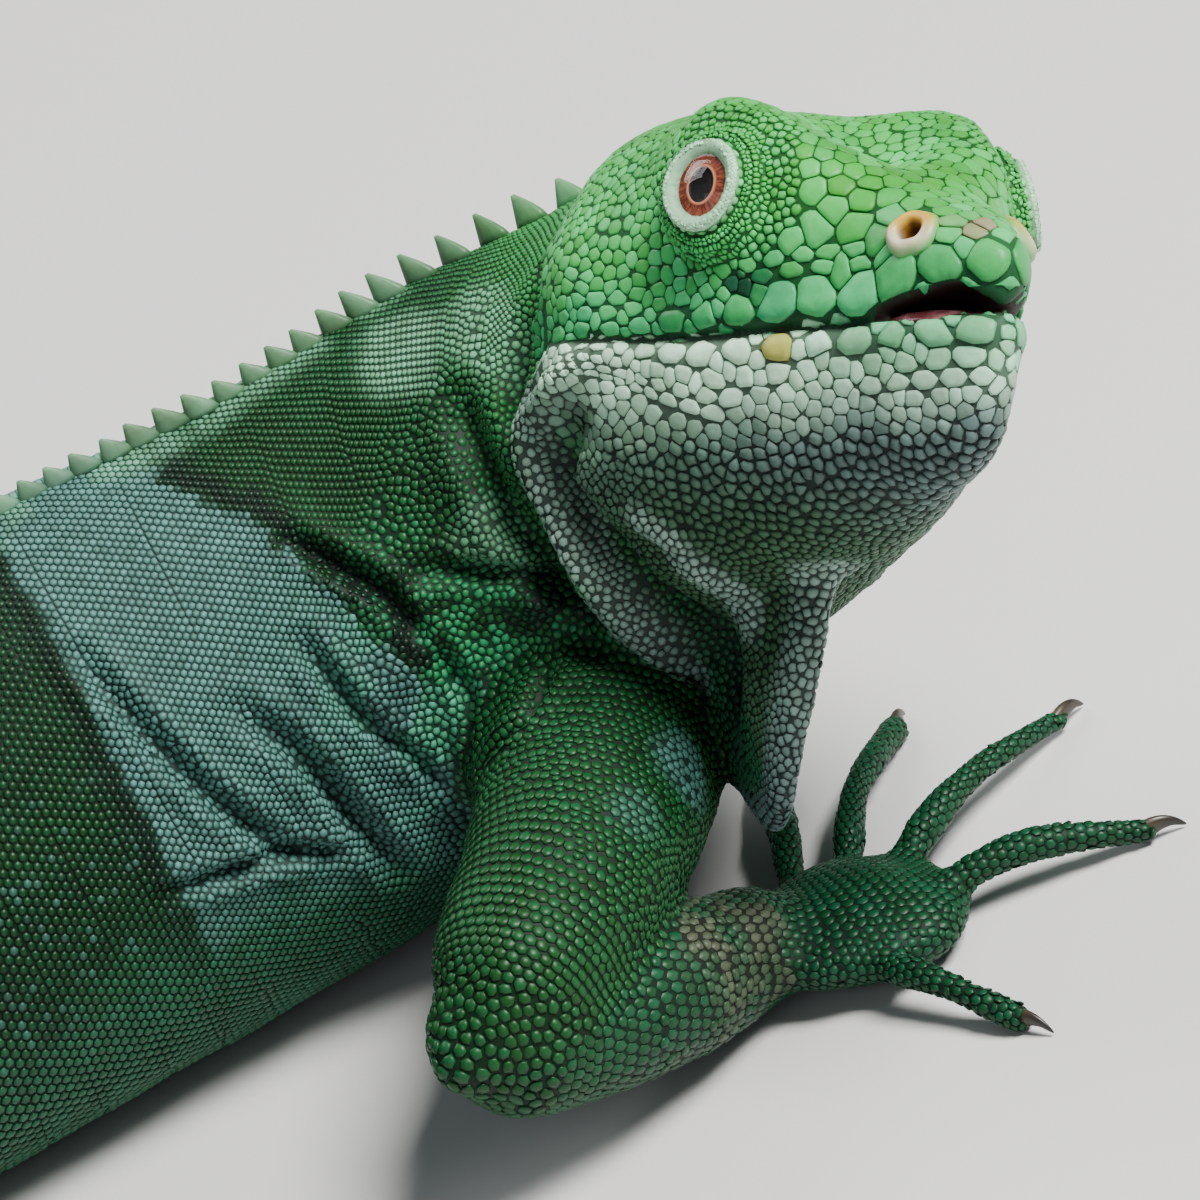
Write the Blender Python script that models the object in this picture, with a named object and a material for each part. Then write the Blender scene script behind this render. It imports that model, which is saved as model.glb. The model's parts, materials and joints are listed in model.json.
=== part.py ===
"""A Fiji banded iguana at life size, resting on its belly with its head turned to its right.

Frame: the animal faces +X, up is +Z and its right side is -Y. The floor is z = 0.
Sizes below are in millimetres and become metres where a mesh is made. They are counted from
the floor under the shoulders; the finished animal is then set over the middle of its own box.
"""
import math

import bmesh
import bpy
from mathutils import Euler, Vector

MM = 0.001
GAP = 0.3                    # clear space between neighbouring pieces
OVERREACH = 6.0              # how far a cutter runs past what it cuts
ROOT_GAP = 0.5               # clear space round the root of a limb

# ---------------------------------------------------------------- driving sizes
VENT_X = -112.0
TAIL_LENGTH = 385.0
TAIL_WIDTH, TAIL_HEIGHT = 7.6, 8.6       # half sizes at the vent
TAIL_TIP = 0.6
TAIL_BEND = 26.0             # degrees the tail's heading swings to each side
TAIL_WAVES = 0.8
TAIL_PARTS = 5
TAIL_SINK = 0.97             # share of its half height that the tail's middle stands at

HEAD_BASE = Vector((9.4, -14.3, 26.7))   # mouth level, between the ear drums
HEAD_HEADING = (-72.6, 21.8, -35.0)      # yaw, pitch, roll
EYE_RADIUS = 3.1
EYE_AT = Vector((15.4, 7.5, 10.1))       # eyeball centre, mirrored for the other eye
EYE_AIM = Vector((0.42, 0.88, 0.20)).normalized()    # where the eye looks
LID_THICKNESS = 0.85
LID_OPENING = 2.15           # radius of the gap between the lids
NOSTRIL_AT = Vector((27.0, 2.6, 7.0))

MOUTH_CORNER_X = 5.8
MOUTH_LEVEL = 2.9
MOUTH_OPEN_X = 25.0          # the lips part in front of this
MOUTH_OPENING = 1.1
JAW_SETBACK = 1.5            # how far the lower lip stands behind the tip of the snout
LIP_SETBACK = 1.9            # the same for the rim of the upper lip
CHIN_LEVEL = -2.4            # lower edge of the jaw at the chin
JAW_DEPTH_SLOPE = 0.09

# the dewlap's root and its lower edge in the head's frame, from the throat back to the chest
DEWLAP_ROOT = [(12.0, 0, -5.8), (7.0, 0, -8.6), (2.0, 0.4, -11.4), (-2.0, 2.0, -13.4), (-6.0, 4.2, -15.4)]
DEWLAP_EDGE = [(12.6, 0, -8.6), (10.6, 0, -13.2), (8.3, 0, -19.2), (4.5, 1.0, -21.8), (-5.0, 4.2, -18.6)]
DEWLAP_HALF_WIDTHS = (2.2, 1.2, 0.8)     # at the root, half way down and at the edge
DEWLAP_RINGS = 11

CREST_PITCH = 2.7            # distance between two crest spines
CREST_NAPE_HEIGHT = 1.7
CREST_HIP_HEIGHT = 0.7
CREST_LEAN = 0.45

BODY_SIDES = 24
TAIL_SIDES = 10
LIMB_SIDES = 10
DIGIT_SIDES = 6
CLAW_SIDES = 5
TAIL_RINGS = 6               # steps in each length of the tail

GREEN = (0.10, 0.42, 0.13)
PALE = (0.50, 0.72, 0.62)
CLAW = (0.10, 0.07, 0.05)
IRIS = (0.30, 0.06, 0.03)


# ---------------------------------------------------------------- small tools
def clear_scene():
    """Removes every object the file starts with."""
    for item in list(bpy.data.objects):
        bpy.data.objects.remove(item, do_unlink=True)


def turn(yaw, pitch, roll):
    """Rotation from forward +X, left +Y, up +Z to a heading in degrees."""
    return Euler((math.radians(roll), math.radians(-pitch), math.radians(yaw)), "XYZ").to_matrix()


def material(name, colour, roughness):
    """A plain surface with one colour and one roughness."""
    made = bpy.data.materials.new(name)
    made.use_nodes = True
    shader = made.node_tree.nodes["Principled BSDF"]
    shader.inputs["Base Color"].default_value = (*colour, 1.0)
    shader.inputs["Roughness"].default_value = roughness
    shader.inputs["Metallic"].default_value = 0.0
    return made


def add_object(name, vertices, faces, colour=GREEN, roughness=0.55):
    """One named object from points in millimetres, shaded smooth but for its sharp edges."""
    mesh = bpy.data.meshes.new(name)
    mesh.from_pydata([Vector(v) * MM for v in vertices], [], faces)
    shape = bmesh.new()
    shape.from_mesh(mesh)
    bmesh.ops.recalc_face_normals(shape, faces=shape.faces)
    shape.to_mesh(mesh)
    shape.free()
    mesh.materials.append(material(name, colour, roughness))
    made = bpy.data.objects.new(name, mesh)
    bpy.context.scene.collection.objects.link(made)
    return made


def skin_over(rings):
    """Vertices and faces of a closed skin over equal rings, with flat ends."""
    count = len(rings[0])
    vertices = [point for ring in rings for point in ring]
    faces = []
    for k in range(len(rings) - 1):
        for j in range(count):
            a, b = k * count + j, k * count + (j + 1) % count
            faces.append((a, b, b + count, a + count))
    faces.append(tuple(reversed(range(count))))
    last = (len(rings) - 1) * count
    faces.append(tuple(range(last, last + count)))
    return vertices, faces


def boolean(target, tool, operation):
    """Applies one exact Boolean to the target and drops the tool."""
    step = target.modifiers.new(operation.lower(), "BOOLEAN")
    step.object = tool
    step.operation = operation
    step.solver = "EXACT"
    graph = bpy.context.evaluated_depsgraph_get()
    result = bpy.data.meshes.new_from_object(target.evaluated_get(graph))
    target.modifiers.clear()
    target.data = result
    bpy.data.objects.remove(tool, do_unlink=True)


def cubic(a, b, c, d, t):
    """Catmull-Rom blend from b to c."""
    return 0.5 * (2 * b + (c - a) * t + (2 * a - 5 * b + 4 * c - d) * t * t
                  + (3 * b - a - 3 * c + d) * t ** 3)


def along(values, place):
    """Smooth value at a place counted in entries of a list of numbers or vectors."""
    k = min(int(place), len(values) - 2)
    near = [values[min(max(j, 0), len(values) - 1)] for j in (k - 1, k, k + 1, k + 2)]
    return cubic(*near, place - k)


def on_floor(point):
    """The point itself, or the floor straight above it."""
    return Vector((point.x, point.y, max(point.z, 0.0)))


# ---------------------------------------------------------------- trunk, neck and head
class Section:
    """One cross section of the body: its centre, its turn and its outline sizes."""

    def __init__(self, centre, heading, width, top, bottom, top_round, bottom_round):
        self.centre = Vector(centre)
        self.turn = turn(*heading).to_quaternion()
        self.sizes = (width, top, bottom, top_round, bottom_round)


HEAD_TURN = turn(*HEAD_HEADING)


def head_point(x, y, z):
    """World place of a point given forward, left and up of the head's base."""
    return HEAD_BASE + HEAD_TURN @ Vector((x, y, z))


def head_section(x, z, *sizes):
    """A cross section of the head, square to the head's own length."""
    return Section(head_point(x, 0.0, z), HEAD_HEADING, *sizes)


# centre, (yaw, pitch, roll), half width, height above, depth below, roundness above and below
SPINE = [
    Section((VENT_X, 0.0, 8.4), (0, 0, 0), TAIL_WIDTH, 9.4, TAIL_HEIGHT, 1.9, 2.3),
    Section((-103, 0.3, 10.2), (0, 4, 0), 10.6, 13.0, 10.5, 1.8, 2.3),
    Section((-88, 1.0, 12.0), (0, 3, 0), 14.6, 16.8, 12.5, 1.65, 2.5),
    Section((-66, 1.6, 12.6), (0, 1, 0), 16.8, 19.4, 13.2, 1.6, 2.5),
    Section((-44, 1.6, 13.2), (-2, 2, 0), 16.2, 19.6, 13.8, 1.6, 2.4),
    Section((-26, 0.9, 15.0), (-4, 5, 0), 14.6, 18.2, 15.3, 1.6, 2.3),
    Section((-11, -0.9, 18.0), (-14, 9, -2), 12.8, 15.8, 16.6, 1.6, 2.2),
    Section((-0.6, -4.4, 21.4), (-34, 15, -9), 11.4, 14.4, 15.4, 1.65, 2.0),
    Section((5.6, -9.0, 24.8), (-55, 20, -21), 10.6, 13.6, 15.4, 1.8, 2.0),
    head_section(-2.0, 2.0, 10.6, 13.4, 15.4, 2.2, 2.1),
    head_section(3.5, 3.0, 11.2, 13.3, 14.6, 2.7, 2.1),
    head_section(9.5, 4.0, 10.2, 11.9, 13.6, 3.1, 2.2),
    head_section(16.5, 4.6, 7.9, 10.2, 12.6, 3.1, 2.2),
    head_section(22.0, 4.5, 5.6, 6.8, 10.8, 2.7, 2.2),
    head_section(27.0, 4.2, 3.8, 4.9, 9.4, 2.4, 2.2),
    head_section(30.6, 3.8, 2.2, 4.0, 7.5, 2.2, 2.2),
    head_section(32.4, 3.4, 1.2, 2.8, 4.8, 2.1, 2.2),
    head_section(33.1, 3.2, 0.5, 1.2, 1.6, 2.0, 2.0),
]
NECK_START, HEAD_START, SNOUT_END = 6.3, 9.0, 17.0


def spine_frame(place):
    """Centre, rotation and outline sizes at a place counted in sections."""
    k = min(int(place), len(SPINE) - 2)
    centre = along([s.centre for s in SPINE], place)
    sizes = [along(row, place) for row in zip(*[s.sizes for s in SPINE])]
    return centre, SPINE[k].turn.slerp(SPINE[k + 1].turn, place - k).to_matrix(), sizes


def outline(angle, width, top, bottom, top_round, bottom_round):
    """Left and up offsets of the body outline; angle 0 is the left side, 90 degrees the back."""
    c, s = math.cos(angle), math.sin(angle)
    power = 2.0 / (top_round if s > 0 else bottom_round)
    across = math.copysign(abs(c) ** power, c) * width
    up = math.copysign(abs(s) ** power, s) * (top if s > 0 else bottom)
    return Vector((0.0, across, up))


def bump(point, centre, reach):
    """1 at the centre, falling smoothly to 0 a few reaches away."""
    return math.exp(-((point - Vector(centre)).length / reach) ** 2)


def head_relief(local):
    """Outward push of the head's surface at a point in the head's own frame."""
    here = Vector((local.x, abs(local.y), local.z))
    push = 1.3 * bump(here, (13.4, 6.6, 14.8), 3.6)        # brow ridge
    push += 0.9 * bump(here, (17.5, 7.8, 13.2), 3.5)       # its outer corner
    push += 1.8 * bump(here, (20.5, 6.2, 11.3), 3.8)       # ridge from brow to snout
    push += 1.0 * bump(here, EYE_AT, 4.2)                  # rim of the orbit
    push += 0.7 * bump(here, NOSTRIL_AT, 1.8)              # nostril
    push -= 0.5 * bump(here, (22.5, 6.0, 7.5), 2.6)        # hollow before the eye
    push -= 3.3 * bump(here, (17.0, 0.0, 15.4), 3.9)       # hollow between the brows
    push += 0.9 * bump(here, (4.5, 11.0, 6.0), 4.5)        # jaw muscle
    return push


def body_ring(place, grow=0.0, sides=BODY_SIDES):
    """One ring of the body, flat where it lies on the floor."""
    centre, rotation, (width, top, bottom, top_round, bottom_round) = spine_frame(place)
    ring = []
    for j in range(sides):
        angle = math.tau * j / sides
        offset = outline(angle, width + grow, top + grow, bottom + grow, top_round, bottom_round)
        if place > HEAD_START - 1:
            local = HEAD_TURN.transposed() @ (centre + rotation @ offset - HEAD_BASE)
            fade = min(1.0, place - HEAD_START + 1)
            offset += offset.normalized() * head_relief(local) * fade
        point = centre + rotation @ offset
        ring.append(on_floor(set_back_jaw(point) if place > HEAD_START else point))
    return ring


def set_back_jaw(point):
    """Moves the front of both lips and of the lower jaw back from the tip of the snout."""
    local = HEAD_TURN.transposed() @ (point - HEAD_BASE)
    below = min(max((MOUTH_LEVEL + 0.8 - local.z) / 1.2, 0.0), 1.0)
    ahead = max((local.x - 20.0) / 13.0, 0.0)
    lip = LIP_SETBACK * math.exp(-((local.z - MOUTH_LEVEL - 0.3) / 1.6) ** 2)
    return point - HEAD_TURN @ Vector((max(JAW_SETBACK * below, lip) * ahead, 0.0, 0.0))


def body_length(name, start, end, count, colour=GREEN, grow=0.0):
    """A length of the body between two places, with flat ends."""
    places = [start + (end - start) * k / (count - 1) for k in range(count)]
    return add_object(name, *skin_over([body_ring(p, grow) for p in places]), colour)


def section_gap(place):
    """How much of a section step past a place equals the gap between two lengths."""
    step = 0.05
    return GAP * step / (spine_frame(place + step)[0] - spine_frame(place)[0]).length


# ---------------------------------------------------------------- crest
def crest_height(place):
    """Spine height along the back, tallest on the nape."""
    share = min(place / HEAD_START, 1.0)
    return CREST_HIP_HEIGHT + (CREST_NAPE_HEIGHT - CREST_HIP_HEIGHT) * share ** 3


def crest_spine(place):
    """Corners and faces of one leaning four-sided spine, its root sunk into the back."""
    centre, rotation, sizes = spine_frame(place)
    height = crest_height(place)
    root = centre + rotation @ Vector((0, 0, sizes[1] - 0.7))
    corners = [root + rotation @ Vector(c) for c in ((0.95, 0, 0), (0, 0.6, 0), (-0.95, 0, 0), (0, -0.6, 0))]
    tip = root + rotation @ Vector((-CREST_LEAN * height, 0, height + 0.7))
    return corners + [tip], [(3, 2, 1, 0), (0, 1, 4), (1, 2, 4), (2, 3, 4), (3, 0, 4)]


def add_crest(target, start, end):
    """Joins a row of spines to the back of a length of the body."""
    vertices, faces = [], []
    place, walked, last = start, CREST_PITCH * 0.5, spine_frame(start)[0]
    while place < end:
        here = spine_frame(place)[0]
        walked += (here - last).length
        last = here
        if walked >= CREST_PITCH:
            walked -= CREST_PITCH
            corners, sides = crest_spine(place)
            faces += [tuple(i + len(vertices) for i in side) for side in sides]
            vertices += corners
        place += 0.01
    boolean(target, add_object("crest", vertices, faces), "UNION")


# ---------------------------------------------------------------- head pieces
def slab(name, low, high, start, end, count=11):
    """A wide cutter in the head's frame between two heights that follow the head's length."""
    rings = []
    for k in range(count):
        x = start + (end - start) * k / (count - 1)
        rings.append([head_point(x, y, z) for y, z in
                      ((-20, low(x)), (20, low(x)), (20, high(x)), (-20, high(x)))])
    return add_object(name, *skin_over(rings))


def mouth_line(x):
    """Height of the closed mouth; behind its corner the cut runs down to the neck."""
    behind = max(MOUTH_CORNER_X - x, 0.0)
    return MOUTH_LEVEL + 0.5 * bump(Vector((x, 0, 0)), (MOUTH_CORNER_X, 0, 0), 5.0) - 0.10 * behind ** 2


def mouth_top(x):
    """Upper lip: it lifts in front, where the lips are parted."""
    ahead = max(x - MOUTH_OPEN_X, 0.0)
    return mouth_line(x) + GAP + MOUTH_OPENING * min(ahead / 2.5, 1.0)


def jaw_line(x):
    """Lower edge of the jaw, where the throat begins."""
    return CHIN_LEVEL - JAW_DEPTH_SLOPE * (33.0 - x)


def ball(name, centre, radius, colour, segments=12, rings=6):
    """A round ball at a point in millimetres."""
    shape = bmesh.new()
    bmesh.ops.create_uvsphere(shape, u_segments=segments, v_segments=rings, radius=radius * MM)
    mesh = bpy.data.meshes.new(name)
    shape.to_mesh(mesh)
    shape.free()
    mesh.materials.append(material(name, colour, 0.15))
    made = bpy.data.objects.new(name, mesh)
    made.location = Vector(centre) * MM
    bpy.context.scene.collection.objects.link(made)
    return made


def build_head():
    """Head, lower jaw and throat from one form, parted by the mouth and the jaw's lower edge."""
    behind, ahead = -8.0, 42.0
    low, high = -40.0, 40.0
    cuts = {
        "head": (mouth_top, lambda x: high),
        "lower_jaw": (lambda x: jaw_line(x) + GAP, mouth_line),
        "throat": (lambda x: low, jaw_line),
    }
    for name, (under, over) in cuts.items():
        rings = 20 if name == "head" else 15
        piece = body_length(name, HEAD_START + section_gap(HEAD_START), SNOUT_END, rings,
                            PALE if name != "head" else GREEN)
        boolean(piece, slab("cut", under, over, behind, ahead), "INTERSECT")
        if name == "head":
            add_sockets(piece)
    add_dewlap()
    for side, sign in (("left", 1), ("right", -1)):
        ball(f"eye_{side}", eye_point(sign, 0.0), EYE_RADIUS, IRIS)


def add_dewlap():
    """Thin hanging fold on the middle line, from under the throat to the chest."""
    wide, middle, narrow = DEWLAP_HALF_WIDTHS
    rings = []
    for k in range(DEWLAP_RINGS):
        place = (len(DEWLAP_ROOT) - 1) * k / (DEWLAP_RINGS - 1)
        root = along([Vector(point) for point in DEWLAP_ROOT], place)
        edge = along([Vector(point) for point in DEWLAP_EDGE], place)
        ring = []
        for side, share in ((-wide, 0.0), (wide, 0.0), (middle, 0.5), (narrow, 0.9), (0.0, 1.0),
                            (-narrow, 0.9), (-middle, 0.5)):
            point = root.lerp(edge, share)
            ring.append(head_point(point.x, point.y + side, point.z))
        rings.append(ring)
    fold = add_object("dewlap", *skin_over(rings), PALE)
    cut_clear(fold, swept("clear", *ARM_RIGHT["upper"], LIMB_SIDES, grow=GAP),
              body_length("clear", 5.0, 12.5, 30, grow=GAP))


def eye_point(sign, ahead):
    """World place on an eye's line of sight, a distance ahead of its centre."""
    local = EYE_AT + EYE_AIM * ahead
    return head_point(local.x, sign * local.y, local.z)


def add_sockets(head):
    """Eyelids as a thick round shell, hollowed for the ball and opened in front of it."""
    for sign in (1, -1):
        boolean(head, ball("lid", eye_point(sign, 0.0), EYE_RADIUS + LID_THICKNESS, GREEN), "UNION")
        boolean(head, ball("socket", eye_point(sign, 0.0), EYE_RADIUS + GAP, IRIS), "DIFFERENCE")
        points = [eye_point(sign, 0.6), eye_point(sign, 3.0), eye_point(sign, OVERREACH)]
        radii = [LID_OPENING, LID_OPENING, LID_OPENING + 0.8]
        boolean(head, swept("opening", points, radii, 14, steps=1), "DIFFERENCE")


# ---------------------------------------------------------------- limbs
def swept(name, points, radii, sides, flatness=1.0, steps=2, colour=GREEN, grow=0.0):
    """A rounded limb along points; flatness is its height over its width."""
    count = steps * (len(points) - 1) + 1
    points = [Vector(p) for p in points]
    points[0] += (points[0] - points[1]).normalized() * grow
    points[-1] += (points[-1] - points[-2]).normalized() * grow
    rings = []
    for k in range(count):
        place = k / steps
        here = along(points, place)
        ahead = along(points, min(place + 0.05, len(points) - 1.0))
        behind = along(points, max(place - 0.05, 0.0))
        forward = (ahead - behind).normalized()
        side = forward.cross(Vector((0, 0, 1))).normalized()
        up = side.cross(forward)
        radius = along(radii, place) + grow
        high = radius if flatness == 1.0 else (radius - grow) * flatness + grow
        ring = []
        for j in range(sides):
            angle = math.tau * j / sides
            ring.append(on_floor(here + side * radius * math.cos(angle) + up * high * math.sin(angle)))
        rings.append(ring)
    return add_object(name, *skin_over(rings), colour)


# ---------------------------------------------------------------- legs
# joint centres and radii of each limb; the left ones are given on the right and mirrored
ARM_RIGHT = {
    "upper": ([(-5, -8, 14), (-3.4, -15.8, 13.2), (-8.8, -24.6, 12.3), (-14.4, -30.4, 11.6),
               (-16.6, -32.2, 10.8)],
              [6.8, 7.0, 6.0, 5.2, 3.7]),
    "lower": ([(-19.8, -33.6, 10.2), (-18.2, -32.6, 10.0), (-14.9, -31.2, 8.8), (-8.3, -28.8, 6.1),
               (-1.0, -25.4, 3.5)],
              [2.0, 3.9, 4.8, 4.4, 3.6]),
    "foot": ([(-0.5, -25.2, 3.3), (2.6, -25.8, 2.6), (6.6, -25.4, 1.9), (9.6, -24.6, 1.3)],
             [3.8, 5.9, 6.0, 3.4]),
    "digits": [[(2.8, -20.8, 1.9), (5.4, -13.2, 2.2), (7.2, -6.0, 0.75)],
               [(5.4, -22.2, 1.9), (9.4, -14.8, 2.6), (14.4, -7.6, 0.75)],
               [(7.2, -23.6, 1.9), (14.2, -18.8, 2.6), (21.6, -14.4, 0.75)],
               [(7.2, -26.6, 1.9), (14.0, -27.2, 2.6), (20.6, -28.4, 0.75)],
               [(2.6, -29.0, 1.9), (5.0, -33.6, 2.4), (8.0, -39.2, 0.75)]],
}
ARM_LEFT = {
    "upper": ([(-6, -7, 14), (-5.4, -14.5, 13.2), (-9.4, -21, 11.4), (-13.6, -27.0, 9.2),
               (-15.2, -29.2, 8.2)],
              [6.8, 7.0, 6.1, 5.4, 3.8]),
    "lower": ([(-18.0, -31.0, 7.4), (-16.6, -30.4, 7.4), (-12.8, -29.6, 7.0), (-4.0, -29.8, 5.4),
               (4.6, -29.6, 3.4)],
              [2.0, 4.2, 5.2, 4.6, 3.7]),
    "foot": ([(5.0, -29.6, 3.3), (8.2, -29.6, 2.6), (12.2, -29.0, 1.9), (15.2, -28.2, 1.3)],
             [3.8, 5.9, 6.0, 3.4]),
    "digits": [[(9.0, -24.6, 1.9), (12.4, -18.0, 2.2), (15.6, -12.6, 0.75)],
               [(11.4, -25.8, 1.9), (17.2, -19.8, 2.6), (23.6, -15.0, 0.75)],
               [(12.8, -27.4, 1.9), (20.2, -25.0, 2.6), (28.2, -23.0, 0.75)],
               [(12.8, -30.0, 1.9), (20.0, -31.8, 2.6), (27.6, -33.8, 0.75)],
               [(8.8, -32.8, 1.9), (11.8, -37.4, 2.4), (15.4, -42.4, 0.75)]],
}
LEG_RIGHT = {
    "upper": ([(-104, -4, 12.4), (-98.5, -14, 12.6), (-90, -26, 12.6), (-83.6, -34.6, 11.6),
               (-81.8, -37.4, 10.2)],
              [7.4, 8.0, 6.8, 5.0, 3.0]),
    "lower": ([(-79.6, -38.8, 9.6), (-80.8, -38.4, 9.6), (-84.4, -37.4, 8.8), (-93.0, -38.6, 6.6),
               (-103.0, -40.6, 3.8)],
              [2.0, 3.9, 4.8, 4.6, 3.4]),
    "foot": ([(-104.6, -41.2, 3.4), (-101.0, -44.4, 2.7), (-96.0, -47.4, 1.8), (-92.4, -49.2, 1.1)],
             [3.4, 4.2, 4.5, 2.8]),
    "digits": [[(-98.0, -41.8, 1.8), (-92.6, -38.8, 2.2), (-87.6, -38.4, 0.75)],
               [(-95.2, -44.8, 1.9), (-87.0, -42.8, 2.8), (-78.8, -42.4, 0.75)],
               [(-93.6, -47.2, 1.9), (-83.0, -47.8, 3.0), (-72.4, -50.0, 0.75)],
               [(-94.2, -50.0, 1.9), (-83.0, -54.6, 3.0), (-72.0, -61.0, 0.75)],
               [(-101.0, -48.4, 1.9), (-97.0, -55.0, 2.4), (-92.6, -62.0, 0.75)]],
}
LEG_LEFT = {
    "upper": ([(-104, -4, 12.4), (-100.0, -14.4, 12.6), (-94, -26, 12.4), (-89.0, -35.0, 11.2),
               (-87.4, -37.8, 9.8)],
              [7.4, 8.0, 6.8, 5.0, 3.0]),
    "lower": ([(-85.0, -39.4, 9.2), (-86.2, -39.0, 9.2), (-89.8, -38.2, 8.6), (-99.2, -40.2, 6.4),
               (-109.2, -42.6, 3.8)],
              [2.0, 3.9, 4.8, 4.6, 3.4]),
    "foot": ([(-110.8, -43.2, 3.4), (-107.4, -46.6, 2.7), (-102.6, -50.0, 1.8), (-99.2, -52.0, 1.1)],
             [3.4, 4.2, 4.5, 2.8]),
    "digits": [[(-104.4, -44.2, 1.8), (-99.2, -41.4, 2.2), (-94.2, -41.2, 0.75)],
               [(-101.6, -47.2, 1.9), (-93.6, -45.6, 2.8), (-85.4, -45.4, 0.75)],
               [(-100.2, -49.8, 1.9), (-89.8, -51.2, 3.0), (-79.4, -54.0, 0.75)],
               [(-101.0, -52.6, 1.9), (-90.4, -58.0, 3.0), (-80.0, -65.2, 0.75)],
               [(-107.8, -50.4, 1.9), (-104.4, -57.4, 2.4), (-100.6, -64.6, 0.75)]],
}


def digit(name, points, root_radius, tip_radius):
    """One finger or toe with slightly swollen joints."""
    radii = [root_radius, (root_radius + tip_radius) * 0.5, tip_radius]
    return swept(name, points, radii, DIGIT_SIDES, steps=2)


def claw(name, tip_point, heading, size):
    """A curved claw that starts just past the end of a digit."""
    ahead = Vector(heading).normalized()
    root = Vector(tip_point) + ahead * GAP
    points = [root, root + ahead * 0.8 * size + Vector((0, 0, 0.15)),
              root + ahead * 1.9 * size + Vector((0, 0, -0.45))]
    return swept(name, points, [0.62, 0.5, 0.16], CLAW_SIDES, steps=1, colour=CLAW)


def build_foot(name, palm, digits, claw_size, digit_radius, flatness=0.42):
    """Palm or sole with its digits in one piece, and each claw as its own piece."""
    foot = swept(name, *palm, LIMB_SIDES, flatness)
    for number, points in enumerate(digits, 1):
        boolean(foot, digit("digit", points, digit_radius, digit_radius * 0.72), "UNION")
        tip = Vector(points[-1])
        claw(f"{name}_claw_{number}", tip, (tip - Vector(points[-2])) * Vector((1, 1, 0.2)), claw_size)
    return foot


def mirrored(data):
    """The same limb for the other side."""
    if isinstance(data, dict):
        return {key: mirrored(value) for key, value in data.items()}
    if isinstance(data, list):
        return [mirrored(value) for value in data]
    if isinstance(data, tuple) and len(data) == 3:
        return (data[0], -data[1], data[2])
    if isinstance(data, tuple):
        return tuple(mirrored(value) for value in data)
    return data


def cut_clear(target, *tools):
    """Cuts a piece clear of others that are given slightly larger than they are."""
    for tool in tools:
        boolean(target, tool, "DIFFERENCE")


def build_limb(names, limb, body):
    """Upper limb, lower limb and foot; each is cut clear of the piece before it."""
    upper, lower, foot = names
    made = swept(upper, *limb["upper"], LIMB_SIDES)
    cut_clear(made, body_length("clear", *body, grow=ROOT_GAP))
    cut_clear(made, swept("clear", *limb["lower"], LIMB_SIDES, grow=GAP))
    made = swept(lower, *limb["lower"], LIMB_SIDES)
    made = build_foot(foot, limb["foot"], limb["digits"], 1.0, 1.15)
    cut_clear(made, swept("clear", *limb["lower"], LIMB_SIDES, grow=GAP))


# ---------------------------------------------------------------- tail
def tail_frames(count):
    """Evenly spaced places along the tail: share of its length, point and heading."""
    place, frames = Vector((VENT_X, 0.0, 0.0)), []
    for k in range(count):
        share = k / (count - 1)
        heading = math.pi + math.radians(TAIL_BEND) * math.sin(math.tau * TAIL_WAVES * share)
        frames.append((share, place.copy(), heading))
        place += Vector((math.cos(heading), math.sin(heading), 0.0)) * TAIL_LENGTH / (count - 1)
    return frames


def tail_ring(share, place, heading):
    """One ring of the tail; it lies on the floor and narrows to a whip."""
    width = TAIL_TIP + (TAIL_WIDTH - TAIL_TIP) * tail_taper(share)
    height = TAIL_TIP + (TAIL_HEIGHT - TAIL_TIP) * tail_taper(share)
    left = Vector((math.sin(heading), -math.cos(heading), 0.0))
    centre = Vector((place.x, place.y, height * TAIL_SINK))
    ring = []
    for j in range(TAIL_SIDES):
        angle = math.tau * (j + 0.5) / TAIL_SIDES
        ring.append(on_floor(centre + left * width * math.cos(angle)
                             + Vector((0, 0, height * math.sin(angle)))))
    return ring


def tail_taper(share):
    """1 at the vent, 0 at the tip; quick behind the hips, then a long even whip."""
    return 0.72 * (1 - share) ** 2.6 + 0.28 * (1 - share)


def build_tail():
    """The tail in equal lengths, each parted from the one before it by the gap."""
    frames = tail_frames(TAIL_PARTS * TAIL_RINGS + 1)
    for part in range(TAIL_PARTS):
        first = part * TAIL_RINGS
        rings = [tail_ring(*frame) for frame in frames[first:first + TAIL_RINGS + 1]]
        heading = frames[first][2]
        ahead = Vector((math.cos(heading), math.sin(heading), 0.0)) * GAP
        rings[0] = [point + ahead for point in rings[0]]
        add_object(f"tail_{part + 1}", *skin_over(rings))


def centre_over_origin():
    """Sets the whole animal so that the origin is the middle of its box, on the floor."""
    pieces = list(bpy.context.scene.objects)
    corners = [piece.location + Vector(corner) for piece in pieces for corner in piece.bound_box]
    middle = Vector([(min(c[k] for c in corners) + max(c[k] for c in corners)) / 2 for k in (0, 1)] + [0.0])
    for piece in pieces:
        piece.location -= middle


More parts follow.
